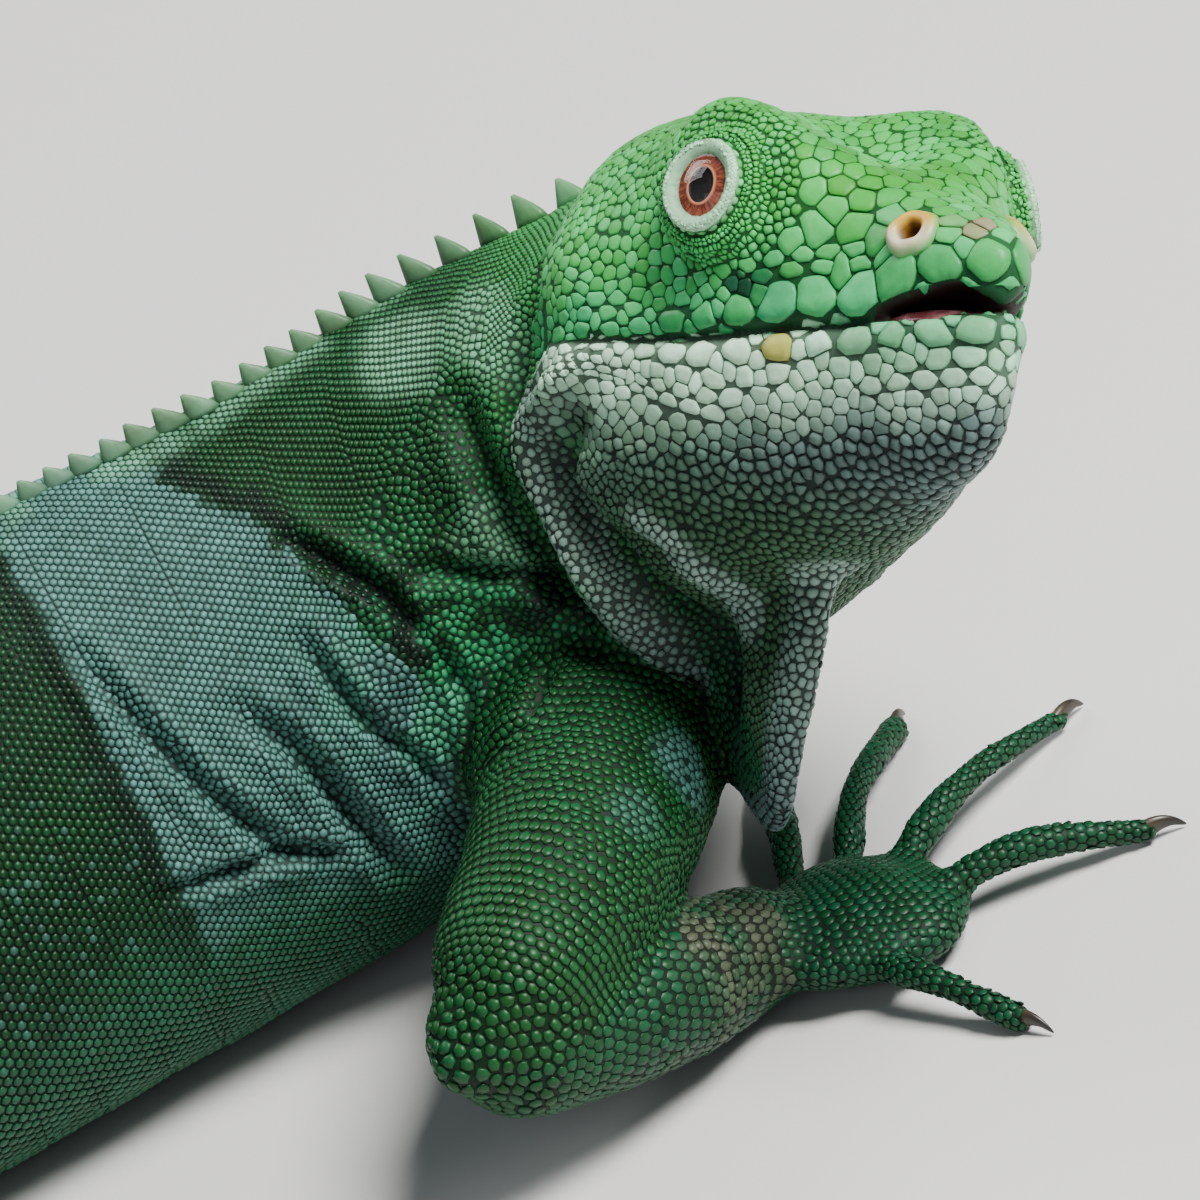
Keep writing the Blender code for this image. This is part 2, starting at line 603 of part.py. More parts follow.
def main():
    """Builds the animal from tail to head, then its limbs."""
    clear_scene()
    build_tail()
    for name, start, end, count in (("pelvis", 0, 2, 6), ("trunk", 2, NECK_START, 12)):
        piece = body_length(name, start + section_gap(start), end, count)
        add_crest(piece, start + 0.15, end - 0.1)
    neck = body_length("neck", NECK_START + section_gap(NECK_START), HEAD_START, 9)
    add_crest(neck, NECK_START + 0.15, HEAD_START - 0.15)
    build_head()
    front, rear = (4.0, 9.6, 44), (0.0, 3.4, 26)
    build_limb(("upper_arm_right", "forearm_right", "hand_right"), ARM_RIGHT, front)
    build_limb(("upper_arm_left", "forearm_left", "hand_left"), mirrored(ARM_LEFT), front)
    build_limb(("thigh_right", "shin_right", "hind_foot_right"), LEG_RIGHT, rear)
    build_limb(("thigh_left", "shin_left", "hind_foot_left"), mirrored(LEG_LEFT), rear)
    centre_over_origin()


main()
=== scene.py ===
import json
import logging
import math
from dataclasses import dataclass, field
from enum import Enum
from typing import Callable

import bmesh
import bpy
import numpy as np
from mathutils import Euler, Matrix, Vector
from mathutils.bvhtree import BVHTree
from mathutils.kdtree import KDTree

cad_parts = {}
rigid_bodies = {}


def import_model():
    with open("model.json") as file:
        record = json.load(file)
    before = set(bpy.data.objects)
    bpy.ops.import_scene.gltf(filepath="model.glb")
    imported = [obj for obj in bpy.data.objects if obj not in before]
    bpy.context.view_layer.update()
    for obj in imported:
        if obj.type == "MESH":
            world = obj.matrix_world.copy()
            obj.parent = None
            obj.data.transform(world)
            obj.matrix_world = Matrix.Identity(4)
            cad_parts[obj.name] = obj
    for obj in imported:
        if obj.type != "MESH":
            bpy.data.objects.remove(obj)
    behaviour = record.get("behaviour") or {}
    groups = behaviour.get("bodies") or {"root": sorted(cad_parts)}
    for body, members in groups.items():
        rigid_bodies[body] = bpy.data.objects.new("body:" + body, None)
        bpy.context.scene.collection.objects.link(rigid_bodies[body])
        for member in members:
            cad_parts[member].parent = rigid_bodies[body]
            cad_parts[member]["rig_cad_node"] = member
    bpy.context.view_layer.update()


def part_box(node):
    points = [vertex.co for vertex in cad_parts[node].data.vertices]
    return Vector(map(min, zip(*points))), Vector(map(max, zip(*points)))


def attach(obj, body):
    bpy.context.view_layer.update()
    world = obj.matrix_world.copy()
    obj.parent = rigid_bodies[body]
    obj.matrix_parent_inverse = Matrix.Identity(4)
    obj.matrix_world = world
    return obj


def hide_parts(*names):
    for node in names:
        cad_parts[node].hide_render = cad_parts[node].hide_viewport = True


MM = 0.001
SKIN_TRIANGLES = 186000
Array = np.ndarray
LOG = logging.getLogger("iguana")
FAR = 99.0  # stands for a distance past every reach
CHUNK = 40000  # points located at a time, to spare memory
HEAD_ENDS = -12.0  # behind this place along the trunk nothing belongs to the head
BRIGHTEST = 4.0  # the lids' own colours are stored brighter than white, because the skin is dimmed

# Sizes are in millimetres, counted from the floor under the shoulders: +X is ahead of the
# trunk, +Y the animal's left, +Z up. Stage.shift moves them into the frame of the solids.


# ------------------------------------------------------------------ arithmetic
def rotation(yaw: float, pitch: float, roll: float) -> Array:
    """Turn from forward +X, left +Y, up +Z to a heading in degrees."""
    return np.array(Euler((math.radians(roll), math.radians(-pitch), math.radians(yaw)), "XYZ").to_matrix())


def unit(vectors: Array) -> Array:
    """The same directions at length 1."""
    return vectors / np.maximum(np.linalg.norm(vectors, axis=-1, keepdims=True), 1e-9)


def step(low: float, high: float, value: Array) -> Array:
    """0 up to low, 1 from high on, smooth between them."""
    t = np.clip((np.asarray(value, float) - low) / (high - low), 0.0, 1.0)
    return t * t * (3.0 - 2.0 * t)


def bump(points: Array, centre: tuple, reach: float) -> Array:
    """1 at the centre, falling smoothly to 0 a few reaches away."""
    return np.exp(-((points - np.array(centre)) ** 2).sum(-1) / reach ** 2)


def catmull(values: Array, places: Array) -> Array:
    """Smooth values at places counted in rows of a table."""
    k = np.clip(places.astype(int), 0, len(values) - 2)
    t = (places - k)[:, None]
    a, b, c, d = (values[np.clip(k + j, 0, len(values) - 1)] for j in (-1, 0, 1, 2))
    return 0.5 * (2 * b + (c - a) * t + (2 * a - 5 * b + 4 * c - d) * t ** 2
                  + (3 * b - a - 3 * c + d) * t ** 3)


def lattice_noise(points: Array, seed: int = 0) -> Array:
    """Smooth noise from 0 to 1 with features about one unit across."""
    base = np.floor(points).astype(np.int64)
    part = points - base
    part = part * part * (3 - 2 * part)
    total = np.zeros(len(points))
    for corner in range(8):
        offset = np.array([corner & 1, corner >> 1 & 1, corner >> 2 & 1])
        key = ((base + offset) * np.array([73856093, 19349663, 83492791])).sum(1) + seed * 7919
        key = (key ^ (key >> 13)) * 1274126177 & 0x7FFFFFFF
        key = (key ^ (key >> 15)) * 668265263 & 0x7FFFFFFF
        weight = np.where(offset, part, 1 - part).prod(1)
        total += weight * (key % 65536) / 65535.0
    return total


def layered_noise(points: Array, seed: int = 0, layers: int = 3) -> Array:
    """Noise of several finenesses from 0 to 1."""
    total, weight = np.zeros(len(points)), 0.0
    for k in range(layers):
        total += lattice_noise(points * 2.0 ** k + 17.3 * k, seed + k) * 0.5 ** k
        weight += 0.5 ** k
    return total / weight


def round_angles(count: int) -> Array:
    """Evenly spaced angles of one turn."""
    return math.tau * np.arange(count) / count


def folded(local: Array) -> Array:
    """Places in the head's frame with its right side laid over the left."""
    made = np.array(local, float)
    made[..., 1] = np.abs(made[..., 1])
    return made


def along_line(wanted: Array, places: Array, points: Array) -> Array:
    """Points at the wanted places of a line, from the places of its own points."""
    return np.stack([np.interp(wanted, places, points[:, k]) for k in range(3)], -1)


def rings_to_mesh(rings: Array) -> tuple[Array, list]:
    """Vertices and faces of a closed skin over equal rings with fans at both ends.

    Args:
        rings: ring by ring, the points of each ring.

    Returns:
        The vertices, and the faces as lists of corners.
    """
    count, sides = rings.shape[:2]
    vertices = [rings.reshape(-1, 3), rings[0].mean(0)[None], rings[-1].mean(0)[None]]
    start, end = count * sides, count * sides + 1
    faces = []
    for k in range(count - 1):
        for j in range(sides):
            a, b = k * sides + j, k * sides + (j + 1) % sides
            faces.append((a, b, b + sides, a + sides))
    last = (count - 1) * sides
    for j in range(sides):
        faces.append((start, (j + 1) % sides, j))
        faces.append((end, last + j, last + (j + 1) % sides))
    return np.vstack(vertices), faces


# ------------------------------------------------------------------ the animal's forms
@dataclass
class Head:
    """The head's own frame and the places of its features: x ahead, y left, z up."""

    base: tuple = (9.4, -14.3, 26.7)
    heading: tuple = (-72.6, 21.8, -35.0)
    eye_at: tuple = (15.4, 7.5, 10.1)
    eye_aim: tuple = (0.42, 0.88, 0.20)
    eye_radius: float = 3.1
    lid_thickness: float = 0.72
    nostril_at: tuple = (27.0, 2.6, 7.0)
    nostril_aim: tuple = (0.35, 0.80, 0.48)
    mouth_corner: float = 5.8
    mouth_level: float = 2.9
    mouth_open_from: float = 24.6
    mouth_shut_from: float = 31.4
    mouth_opening: float = 1.7
    lifted_until: float = 30.6
    jaw_setback: float = 1.5
    lip_setback: float = 1.9
    mounds: tuple = ((1.3, (13.4, 6.6, 14.8), 3.6), (0.9, (17.5, 7.8, 13.2), 3.5),
                     (1.8, (20.5, 6.2, 11.3), 3.8), (1.0, eye_at, 4.2), (0.7, nostril_at, 1.8),
                     (-0.5, (22.5, 6.0, 7.5), 2.6), (-3.3, (17.0, 0.0, 15.4), 3.9),
                     (0.9, (4.5, 11.0, 6.0), 4.5))

    def __post_init__(self) -> None:
        """Works out the turn of the head."""
        self.turn = rotation(*self.heading)

    def world(self, local: Array) -> Array:
        """World places of points in the head's frame."""
        return np.asarray(local, float) @ self.turn.T + np.array(self.base)

    def local(self, points: Array) -> Array:
        """Points in the head's frame."""
        return (np.asarray(points, float) - np.array(self.base)) @ self.turn

    def eye_centre(self, sign: int) -> Array:
        """World place of an eyeball's centre; sign is 1 for the left eye, -1 for the right."""
        x, y, z = self.eye_at
        return self.world(np.array([x, sign * y, z]))

    def eye_axes(self, sign: int) -> Array:
        """World directions of an eye as rows: outwards, upwards and towards the snout."""
        out = unit(np.array(self.eye_aim) * (1, sign, 1))
        up = unit(np.array([0.0, 0.0, 1.0]) - out * out[2])
        ahead = unit(np.cross(up, out)) * (-1 if np.cross(up, out)[0] < 0 else 1)
        return np.array([out, up, ahead]) @ self.turn.T

    def mouth_line(self, x: Array) -> Array:
        """Height of the closed mouth at a place along the head."""
        return self.mouth_level + 0.5 * np.exp(-((x - self.mouth_corner) / 5.0) ** 2)

    def parting(self, x: Array) -> Array:
        """How far the lips are parted at a place along the head."""
        behind = np.clip((x - self.mouth_open_from) / 5.0, 0.0, 1.0)
        ahead = np.clip((self.mouth_shut_from - x) / 1.5, 0.0, 1.0)
        return self.mouth_opening * np.sqrt(behind * ahead)

    def lifted(self, x: Array) -> Array:
        """How far the upper lip is lifted over the closed mouth's line; in front it stays up."""
        return self.parting(np.minimum(x, self.lifted_until))

    def relief(self, local: Array) -> Array:
        """Outward push of the head's surface by its mounds and hollows, as in the solids."""
        here = folded(local)
        return sum(height * bump(here, centre, reach) for height, centre, reach in self.mounds)


@dataclass
class Spine:
    """Trunk, neck and head: cross sections from the vent to the snout."""

    head: Head
    vent: float = -112.0
    head_start: float = 9.0
    snout_end: float = 17.0

    def __post_init__(self) -> None:
        """Lays out the sections.

        Each has its centre, its heading and its half width, height, depth, roundness of the back and
        roundness of the belly.
        """
        self.sections = [
            ((self.vent, 0.0, 8.4), (0, 0, 0), (7.6, 9.4, 8.6, 1.9, 2.3)),
            ((-103, 0.3, 10.2), (0, 4, 0), (10.6, 13.0, 10.5, 1.8, 2.3)),
            ((-88, 1.0, 12.0), (0, 3, 0), (14.6, 16.8, 12.5, 1.65, 2.5)),
            ((-66, 1.6, 12.6), (0, 1, 0), (16.8, 19.4, 13.2, 1.6, 2.5)),
            ((-44, 1.6, 13.2), (-2, 2, 0), (16.2, 19.6, 13.8, 1.6, 2.4)),
            ((-26, 0.9, 15.0), (-4, 5, 0), (14.6, 18.2, 15.3, 1.6, 2.3)),
            ((-11, -0.9, 18.0), (-14, 9, -2), (12.8, 15.8, 16.6, 1.6, 2.2)),
            ((-0.6, -4.4, 21.4), (-34, 15, -9), (11.4, 14.4, 15.4, 1.65, 2.0)),
            ((5.6, -9.0, 24.8), (-55, 20, -21), (10.6, 13.6, 15.4, 1.8, 2.0)),
        ]
        for x, z, *sizes in ((-2.0, 2.0, 10.6, 13.4, 15.4, 2.2, 2.1), (3.5, 3.0, 11.2, 13.3, 14.6, 2.7, 2.1),
                             (9.5, 4.0, 10.2, 11.9, 13.6, 3.1, 2.2), (16.5, 4.6, 7.9, 10.2, 12.6, 3.1, 2.2),
                             (22.0, 4.5, 5.6, 6.8, 10.8, 2.7, 2.2), (27.0, 4.2, 3.8, 4.9, 9.4, 2.4, 2.2),
                             (30.6, 3.8, 2.2, 4.0, 7.5, 2.2, 2.2), (32.4, 3.4, 1.2, 2.8, 4.8, 2.1, 2.2),
                             (33.1, 3.2, 0.5, 1.2, 1.6, 2.0, 2.0)):
            self.sections.append((self.head.world((x, 0.0, z)), self.head.heading, tuple(sizes)))
        self._centres = np.array([list(s[0]) for s in self.sections], float)
        self._sizes = np.array([s[2] for s in self.sections], float)
        self._turns = [Matrix(rotation(*s[1])).to_quaternion() for s in self.sections]
        self._fine = np.linspace(0.0, self.snout_end, 681)
        self._fine_centres, self._fine_turns, _ = self.frames(self._fine)
        walk = np.linalg.norm(np.diff(self._fine_centres, axis=0), axis=1)
        self._fine_lengths = np.concatenate([[0.0], np.cumsum(walk)])

    def frames(self, places: Array) -> tuple[Array, Array, Array]:
        """Centres, turns and outline sizes at places counted in sections.

        Args:
            places: places along the spine; 0 is the vent.

        Returns:
            Centres (n, 3), rotation matrices (n, 3, 3) and sizes (n, 5).
        """
        places = np.asarray(places, float)
        steps = np.clip(places.astype(int), 0, len(self.sections) - 2)
        shares = np.clip(places - steps, 0.0, 1.0).tolist()
        turns = np.array([self._turns[k].slerp(self._turns[k + 1], share).to_matrix()
                          for k, share in zip(steps, shares)])
        return catmull(self._centres, places), turns, catmull(self._sizes, places)

    def length_at(self, places: Array) -> Array:
        """Distance from the vent along the spine, in millimetres."""
        return np.interp(places, self._fine, self._fine_lengths)

    def place_at(self, lengths: Array) -> Array:
        """Place whose distance from the vent is given."""
        return np.interp(lengths, self._fine_lengths, self._fine)

    def rings(self, places: Array, sides: int, grow: float) -> Array:
        """Rings of points round the body.

        Args:
            places: one place for each ring.
            sides: points in a ring; the first is on the left side, the next towards the back.
            grow: how far outside the solids' outline the rings lie.

        Returns:
            Points (places, sides, 3).
        """
        centres, turns, sizes = self.frames(places)
        angle = round_angles(sides)
        c, s = np.cos(angle), np.sin(angle)
        roundness = np.where(s > 0, sizes[:, 3:4], sizes[:, 4:5])
        height = np.where(s > 0, sizes[:, 1:2], sizes[:, 2:3]) + grow
        across = np.sign(c) * np.abs(c) ** (2 / roundness) * (sizes[:, :1] + grow)
        up = np.sign(s) * np.abs(s) ** (2 / roundness) * height
        offset = np.stack([np.zeros_like(across), across, up], -1)
        points = centres[:, None] + np.einsum("nij,nkj->nki", turns, offset)
        fade = np.clip(np.asarray(places) - self.head_start + 1, 0.0, 1.0)[:, None, None]
        local = self.head.local(points)
        offset = offset + unit(offset) * self.head.relief(local)[..., None] * fade
        points = centres[:, None] + np.einsum("nij,nkj->nki", turns, offset)
        local = self.head.local(points)
        below = np.clip((self.head.mouth_level + 0.8 - local[..., 2]) / 1.2, 0.0, 1.0)
        ahead = np.maximum((local[..., 0] - 20.0) / 13.0, 0.0)
        lip = self.head.lip_setback * np.exp(-((local[..., 2] - self.head.mouth_level - 0.3) / 1.6) ** 2)
        back = np.maximum(self.head.jaw_setback * below, lip) * ahead
        back *= (np.asarray(places) > self.head_start)[:, None]
        return points - back[..., None] * self.head.turn[:, 0]

    def locate(self, points: Array) -> tuple[Array, Array]:
        """Where points lie along and round the spine.

        Args:
            points: world places (n, 3).

        Returns:
            The place along the spine, and the angle in degrees: 0 left, 90 back, 180 right, -90 belly.
        """
        place, angle = np.zeros(len(points)), np.zeros(len(points))
        coarse = self._fine_centres[::4]
        for first in range(0, len(points), CHUNK):
            part = points[first:first + CHUNK]
            gap = (part ** 2).sum(1)[:, None] - 2 * part @ coarse.T + (coarse ** 2).sum(1)
            k = np.clip(gap.argmin(1) * 4, 1, len(self._fine) - 2)
            tangent = self._fine_centres[k + 1] - self._fine_centres[k - 1]
            along = ((part - self._fine_centres[k]) * tangent).sum(1) / (tangent ** 2).sum(1) * 2
            k2 = np.clip(k + along, 0, len(self._fine) - 1.001)
            base = k2.astype(int)
            share = (k2 - base)[:, None]
            centre = self._fine_centres[base] * (1 - share) + self._fine_centres[base + 1] * share
            local = np.einsum("nji,nj->ni", self._fine_turns[base], part - centre)
            place[first:first + CHUNK] = np.interp(k2, np.arange(len(self._fine)), self._fine)
            angle[first:first + CHUNK] = np.degrees(np.arctan2(local[:, 2], local[:, 1]))
        return place, angle


@dataclass
class Tube:
    """A limb, finger or toe: joint centres, radii, and its height over its width."""

    points: list
    radii: list
    flatness: float = 1.0

    def frames(self, places: Array) -> tuple[Array, Array, Array, Array]:
        """Centres, sideways and upward directions, and radii at places counted in joints."""
        points, radii = np.array(self.points, float), np.array(self.radii, float)[:, None]
        places = np.asarray(places, float)
        last = len(points) - 1.0
        ahead = catmull(points, np.minimum(places + 0.05, last))
        behind = catmull(points, np.maximum(places - 0.05, 0.0))
        forward = unit(ahead - behind)
        side = unit(np.cross(forward, np.array([0.0, 0.0, 1.0])))
        return catmull(points, places), side, np.cross(side, forward), catmull(radii, places)[:, 0]

    def rings(self, places: Array, sides: int, grow: float) -> Array:
        """Rings of points round the limb."""
        centre, side, up, radius = self.frames(places)
        angle = round_angles(sides)
        wide = (radius + grow)[:, None, None]
        high = (radius * self.flatness + grow)[:, None, None]
        return (centre[:, None] + side[:, None] * wide * np.cos(angle)[:, None]
                + up[:, None] * high * np.sin(angle)[:, None])

    def closed_rings(self, steps: int, sides: int, grow: float) -> Array:
        """Rings with rounded ends, for a closed solid."""
        last = len(self.points) - 1.0
        body = self.rings(np.linspace(0.0, last, steps), sides, grow)
        ends = []
        for ring, sign in ((body[0], -1.0), (body[-1], 1.0)):
            centre = ring.mean(0)
            edge = self.frames(np.array([0.0 if sign < 0 else last]))
            forward = np.cross(edge[2][0], edge[1][0]) * sign
            depth = (edge[3][0] * self.flatness + grow) * 0.8
            ends.append([centre + (ring - centre) * math.cos(a) + forward * depth * math.sin(a)
                         for a in (0.5, 0.95, 1.3)])
        return np.array(ends[0][::-1] + list(body) + ends[1])

    def length(self) -> float:
        """Length of the limb's middle line."""
        line = catmull(np.array(self.points, float), np.linspace(0, len(self.points) - 1.0, 60))
        return float(np.linalg.norm(np.diff(line, axis=0), axis=1).sum())


@dataclass
class Limb:
    """An arm or a leg with its foot, digits and claws."""

    name: str
    upper: Tube
    lower: Tube
    foot: Tube
    digits: list
    digit_radius: float = 1.15

    def digit_tubes(self) -> list[Tube]:
        """Each digit as a tube with slightly swollen joints."""
        root, tip = self.digit_radius, self.digit_radius * 0.72
        return [Tube(points, [root, (root + tip) / 2, tip]) for points in self.digits]


@dataclass
class Tail:
    """The tail: it lies on the floor and narrows to a whip."""

    start: float = -112.0
    length: float = 385.0
    width: float = 7.6
    height: float = 8.6
    tip: float = 0.6
    bend: float = 26.0
    waves: float = 0.8
    sink: float = 0.97
    steps: int = 620

    def __post_init__(self) -> None:
        """Walks the tail's middle line once."""
        self.share = np.linspace(0.0, 1.0, self.steps + 1)
        self.heading = math.pi + math.radians(self.bend) * np.sin(math.tau * self.waves * self.share)
        walk = np.stack([np.cos(self.heading), np.sin(self.heading)], -1) * self.length / self.steps
        line = np.vstack([[self.start, 0.0], walk]).cumsum(0)[:-1]
        self.line = np.hstack([line, np.zeros((len(line), 1))])

    def taper(self, share: Array) -> Array:
        """1 at the vent, 0 at the tip."""
        return 0.72 * (1 - share) ** 2.6 + 0.28 * (1 - share)

    def rings(self, shares: Array, sides: int, grow: float) -> Array:
        """Rings of points round the tail at shares of its length."""
        heading = np.interp(shares, self.share, self.heading)
        centre = along_line(shares, self.share, self.line)
        taper = self.taper(np.asarray(shares))
        wide = self.tip + (self.width - self.tip) * taper
        high = self.tip + (self.height - self.tip) * taper
        centre[:, 2] = high * self.sink
        left = np.stack([np.sin(heading), -np.cos(heading), np.zeros_like(heading)], -1)
        angle = round_angles(sides)
        points = centre[:, None] + left[:, None] * (wide + grow)[:, None, None] * np.cos(angle)[:, None]
        points[..., 2] += (high + grow)[:, None] * np.sin(angle)
        return points

    def locate(self, points: Array) -> tuple[Array, Array]:
        """Share of the tail's length and angle in degrees, 90 on top, of points near it."""
        share, angle = np.zeros(len(points)), np.zeros(len(points))
        line = self.line[::4]
        for first in range(0, len(points), CHUNK):
            part = points[first:first + CHUNK]
            gap = (part[:, :1] - line[:, 0]) ** 2 + (part[:, 1:2] - line[:, 1]) ** 2
            k = gap.argmin(1) * 4
            heading = self.heading[k]
            away = part[:, :2] - self.line[k, :2]
            along = (away * np.stack([np.cos(heading), np.sin(heading)], -1)).sum(1)
            share[first:first + CHUNK] = self.share[k] + along / self.length
            left = (away * np.stack([np.sin(heading), -np.cos(heading)], -1)).sum(1)
            middle = (self.tip + (self.height - self.tip) * self.taper(self.share[k])) * self.sink
            angle[first:first + CHUNK] = np.degrees(np.arctan2(part[:, 2] - middle, -left))
        return share, angle


def mirrored(points: list) -> list:
    """The same joint centres on the animal's other side."""
    return [(x, -y, z) for x, y, z in points]


def build_limbs() -> list[Limb]:
    """The four limbs; the left ones are given on the right and mirrored."""
    leg = ([7.4, 8.0, 6.8, 5.0, 3.0], [2.0, 3.9, 4.8, 4.6, 3.4], [3.4, 4.2, 4.5, 2.8])
    radii = {"arm_right": ([6.8, 7.0, 6.0, 5.2, 3.7], [2.0, 3.9, 4.8, 4.4, 3.6], [3.8, 5.9, 6.0, 3.4]),
             "arm_left": ([6.8, 7.0, 6.1, 5.4, 3.8], [2.0, 4.2, 5.2, 4.6, 3.7], [3.8, 5.9, 6.0, 3.4]),
             "leg_right": leg, "leg_left": leg}
    tables = {
        "arm_right": (
            [(-5, -8, 14), (-3.4, -15.8, 13.2), (-8.8, -24.6, 12.3), (-14.4, -30.4, 11.6),
             (-16.6, -32.2, 10.8)],
            [(-19.8, -33.6, 10.2), (-18.2, -32.6, 10.0), (-14.9, -31.2, 8.8), (-8.3, -28.8, 6.1),
             (-1.0, -25.4, 3.5)],
            [(-0.5, -25.2, 3.3), (2.6, -25.8, 2.6), (6.6, -25.4, 1.9), (9.6, -24.6, 1.3)],
            [[(2.8, -20.8, 1.9), (5.4, -13.2, 2.2), (7.2, -6.0, 0.75)],
             [(5.4, -22.2, 1.9), (9.4, -14.8, 2.6), (14.4, -7.6, 0.75)],
             [(7.2, -23.6, 1.9), (14.2, -18.8, 2.6), (21.6, -14.4, 0.75)],
             [(7.2, -26.6, 1.9), (14.0, -27.2, 2.6), (20.6, -28.4, 0.75)],
             [(2.6, -29.0, 1.9), (5.0, -33.6, 2.4), (8.0, -39.2, 0.75)]]),
        "arm_left": (
            [(-6, -7, 14), (-5.4, -14.5, 13.2), (-9.4, -21, 11.4), (-13.6, -27.0, 9.2), (-15.2, -29.2, 8.2)],
            [(-18.0, -31.0, 7.4), (-16.6, -30.4, 7.4), (-12.8, -29.6, 7.0), (-4.0, -29.8, 5.4),
             (4.6, -29.6, 3.4)],
            [(5.0, -29.6, 3.3), (8.2, -29.6, 2.6), (12.2, -29.0, 1.9), (15.2, -28.2, 1.3)],
            [[(9.0, -24.6, 1.9), (12.4, -18.0, 2.2), (15.6, -12.6, 0.75)],
             [(11.4, -25.8, 1.9), (17.2, -19.8, 2.6), (23.6, -15.0, 0.75)],
             [(12.8, -27.4, 1.9), (20.2, -25.0, 2.6), (28.2, -23.0, 0.75)],
             [(12.8, -30.0, 1.9), (20.0, -31.8, 2.6), (27.6, -33.8, 0.75)],
             [(8.8, -32.8, 1.9), (11.8, -37.4, 2.4), (15.4, -42.4, 0.75)]]),
        "leg_right": (
            [(-104, -4, 12.4), (-98.5, -14, 12.6), (-90, -26, 12.6), (-83.6, -34.6, 11.6),
             (-81.8, -37.4, 10.2)],
            [(-79.6, -38.8, 9.6), (-80.8, -38.4, 9.6), (-84.4, -37.4, 8.8), (-93.0, -38.6, 6.6),
             (-103.0, -40.6, 3.8)],
            [(-104.6, -41.2, 3.4), (-101.0, -44.4, 2.7), (-96.0, -47.4, 1.8), (-92.4, -49.2, 1.1)],
            [[(-98.0, -41.8, 1.8), (-92.6, -38.8, 2.2), (-87.6, -38.4, 0.75)],
             [(-95.2, -44.8, 1.9), (-87.0, -42.8, 2.8), (-78.8, -42.4, 0.75)],
             [(-93.6, -47.2, 1.9), (-83.0, -47.8, 3.0), (-72.4, -50.0, 0.75)],
             [(-94.2, -50.0, 1.9), (-83.0, -54.6, 3.0), (-72.0, -61.0, 0.75)],
             [(-101.0, -48.4, 1.9), (-97.0, -55.0, 2.4), (-92.6, -62.0, 0.75)]]),
        "leg_left": (
            [(-104, -4, 12.4), (-100.0, -14.4, 12.6), (-94, -26, 12.4), (-89.0, -35.0, 11.2),
             (-87.4, -37.8, 9.8)],
            [(-85.0, -39.4, 9.2), (-86.2, -39.0, 9.2), (-89.8, -38.2, 8.6), (-99.2, -40.2, 6.4),
             (-109.2, -42.6, 3.8)],
            [(-110.8, -43.2, 3.4), (-107.4, -46.6, 2.7), (-102.6, -50.0, 1.8), (-99.2, -52.0, 1.1)],
            [[(-104.4, -44.2, 1.8), (-99.2, -41.4, 2.2), (-94.2, -41.2, 0.75)],
             [(-101.6, -47.2, 1.9), (-93.6, -45.6, 2.8), (-85.4, -45.4, 0.75)],
             [(-100.2, -49.8, 1.9), (-89.8, -51.2, 3.0), (-79.4, -54.0, 0.75)],
             [(-101.0, -52.6, 1.9), (-90.4, -58.0, 3.0), (-80.0, -65.2, 0.75)],
             [(-107.8, -50.4, 1.9), (-104.4, -57.4, 2.4), (-100.6, -64.6, 0.75)]]),
    }
    limbs = []
    for name, (upper, lower, foot, digits) in tables.items():
        place = mirrored if name.endswith("left") else list
        upper_radii, lower_radii, foot_radii = radii[name]
        limbs.append(Limb(name, Tube(place(upper), upper_radii), Tube(place(lower), lower_radii),
                          Tube(place(foot), foot_radii, 0.42), [place(d) for d in digits]))
    return limbs


@dataclass
class Dewlap:
    """Thin hanging fold on the middle line, given by its root and edge in the head's frame."""

    head: Head
    root: tuple = ((12.0, 0, -5.8), (7.0, 0, -8.6), (2.0, 0.4, -11.4), (-2.0, 2.0, -13.4), (-6.0, 4.2, -15.4))
    edge: tuple = ((12.6, 0, -8.6), (10.6, 0, -13.2), (8.3, 0, -19.2), (4.5, 1.0, -21.8), (-5.0, 4.2, -18.6))
    root_width: float = 2.2
    edge_width: float = 0.95

    def line(self, points: tuple, shares: Array) -> Array:
        """Places along the root or the edge, in the head's frame."""
        return catmull(np.array(points, float), shares * (len(points) - 1))

    def rings(self, shares: Array, sides: int, grow: float) -> Array:
        """Flat rings from the root round the edge, at shares of the fold's length."""
        root, edge = self.line(self.root, shares), self.line(self.edge, shares)
        angle = round_angles(sides)
        share = (0.5 - 0.5 * np.sin(angle))[:, None]
        width = self.root_width + (self.edge_width - self.root_width) * np.minimum(share * 1.6, 1.0) + grow
        across = np.sign(np.cos(angle)) * np.abs(np.cos(angle)) ** 0.5
        local = root[:, None] + (edge - root)[:, None] * share
        local[..., 1] += (width[:, 0] * across)[None]
        return self.head.world(local)


@dataclass
class Body:
    """All the forms of the animal together."""

    head: Head = field(default_factory=Head)
    tail: Tail = field(default_factory=Tail)
    limbs: list = field(default_factory=build_limbs)

    def __post_init__(self) -> None:
        """Hangs the spine and the dewlap on the head."""
        self.spine = Spine(self.head)
        self.dewlap = Dewlap(self.head)


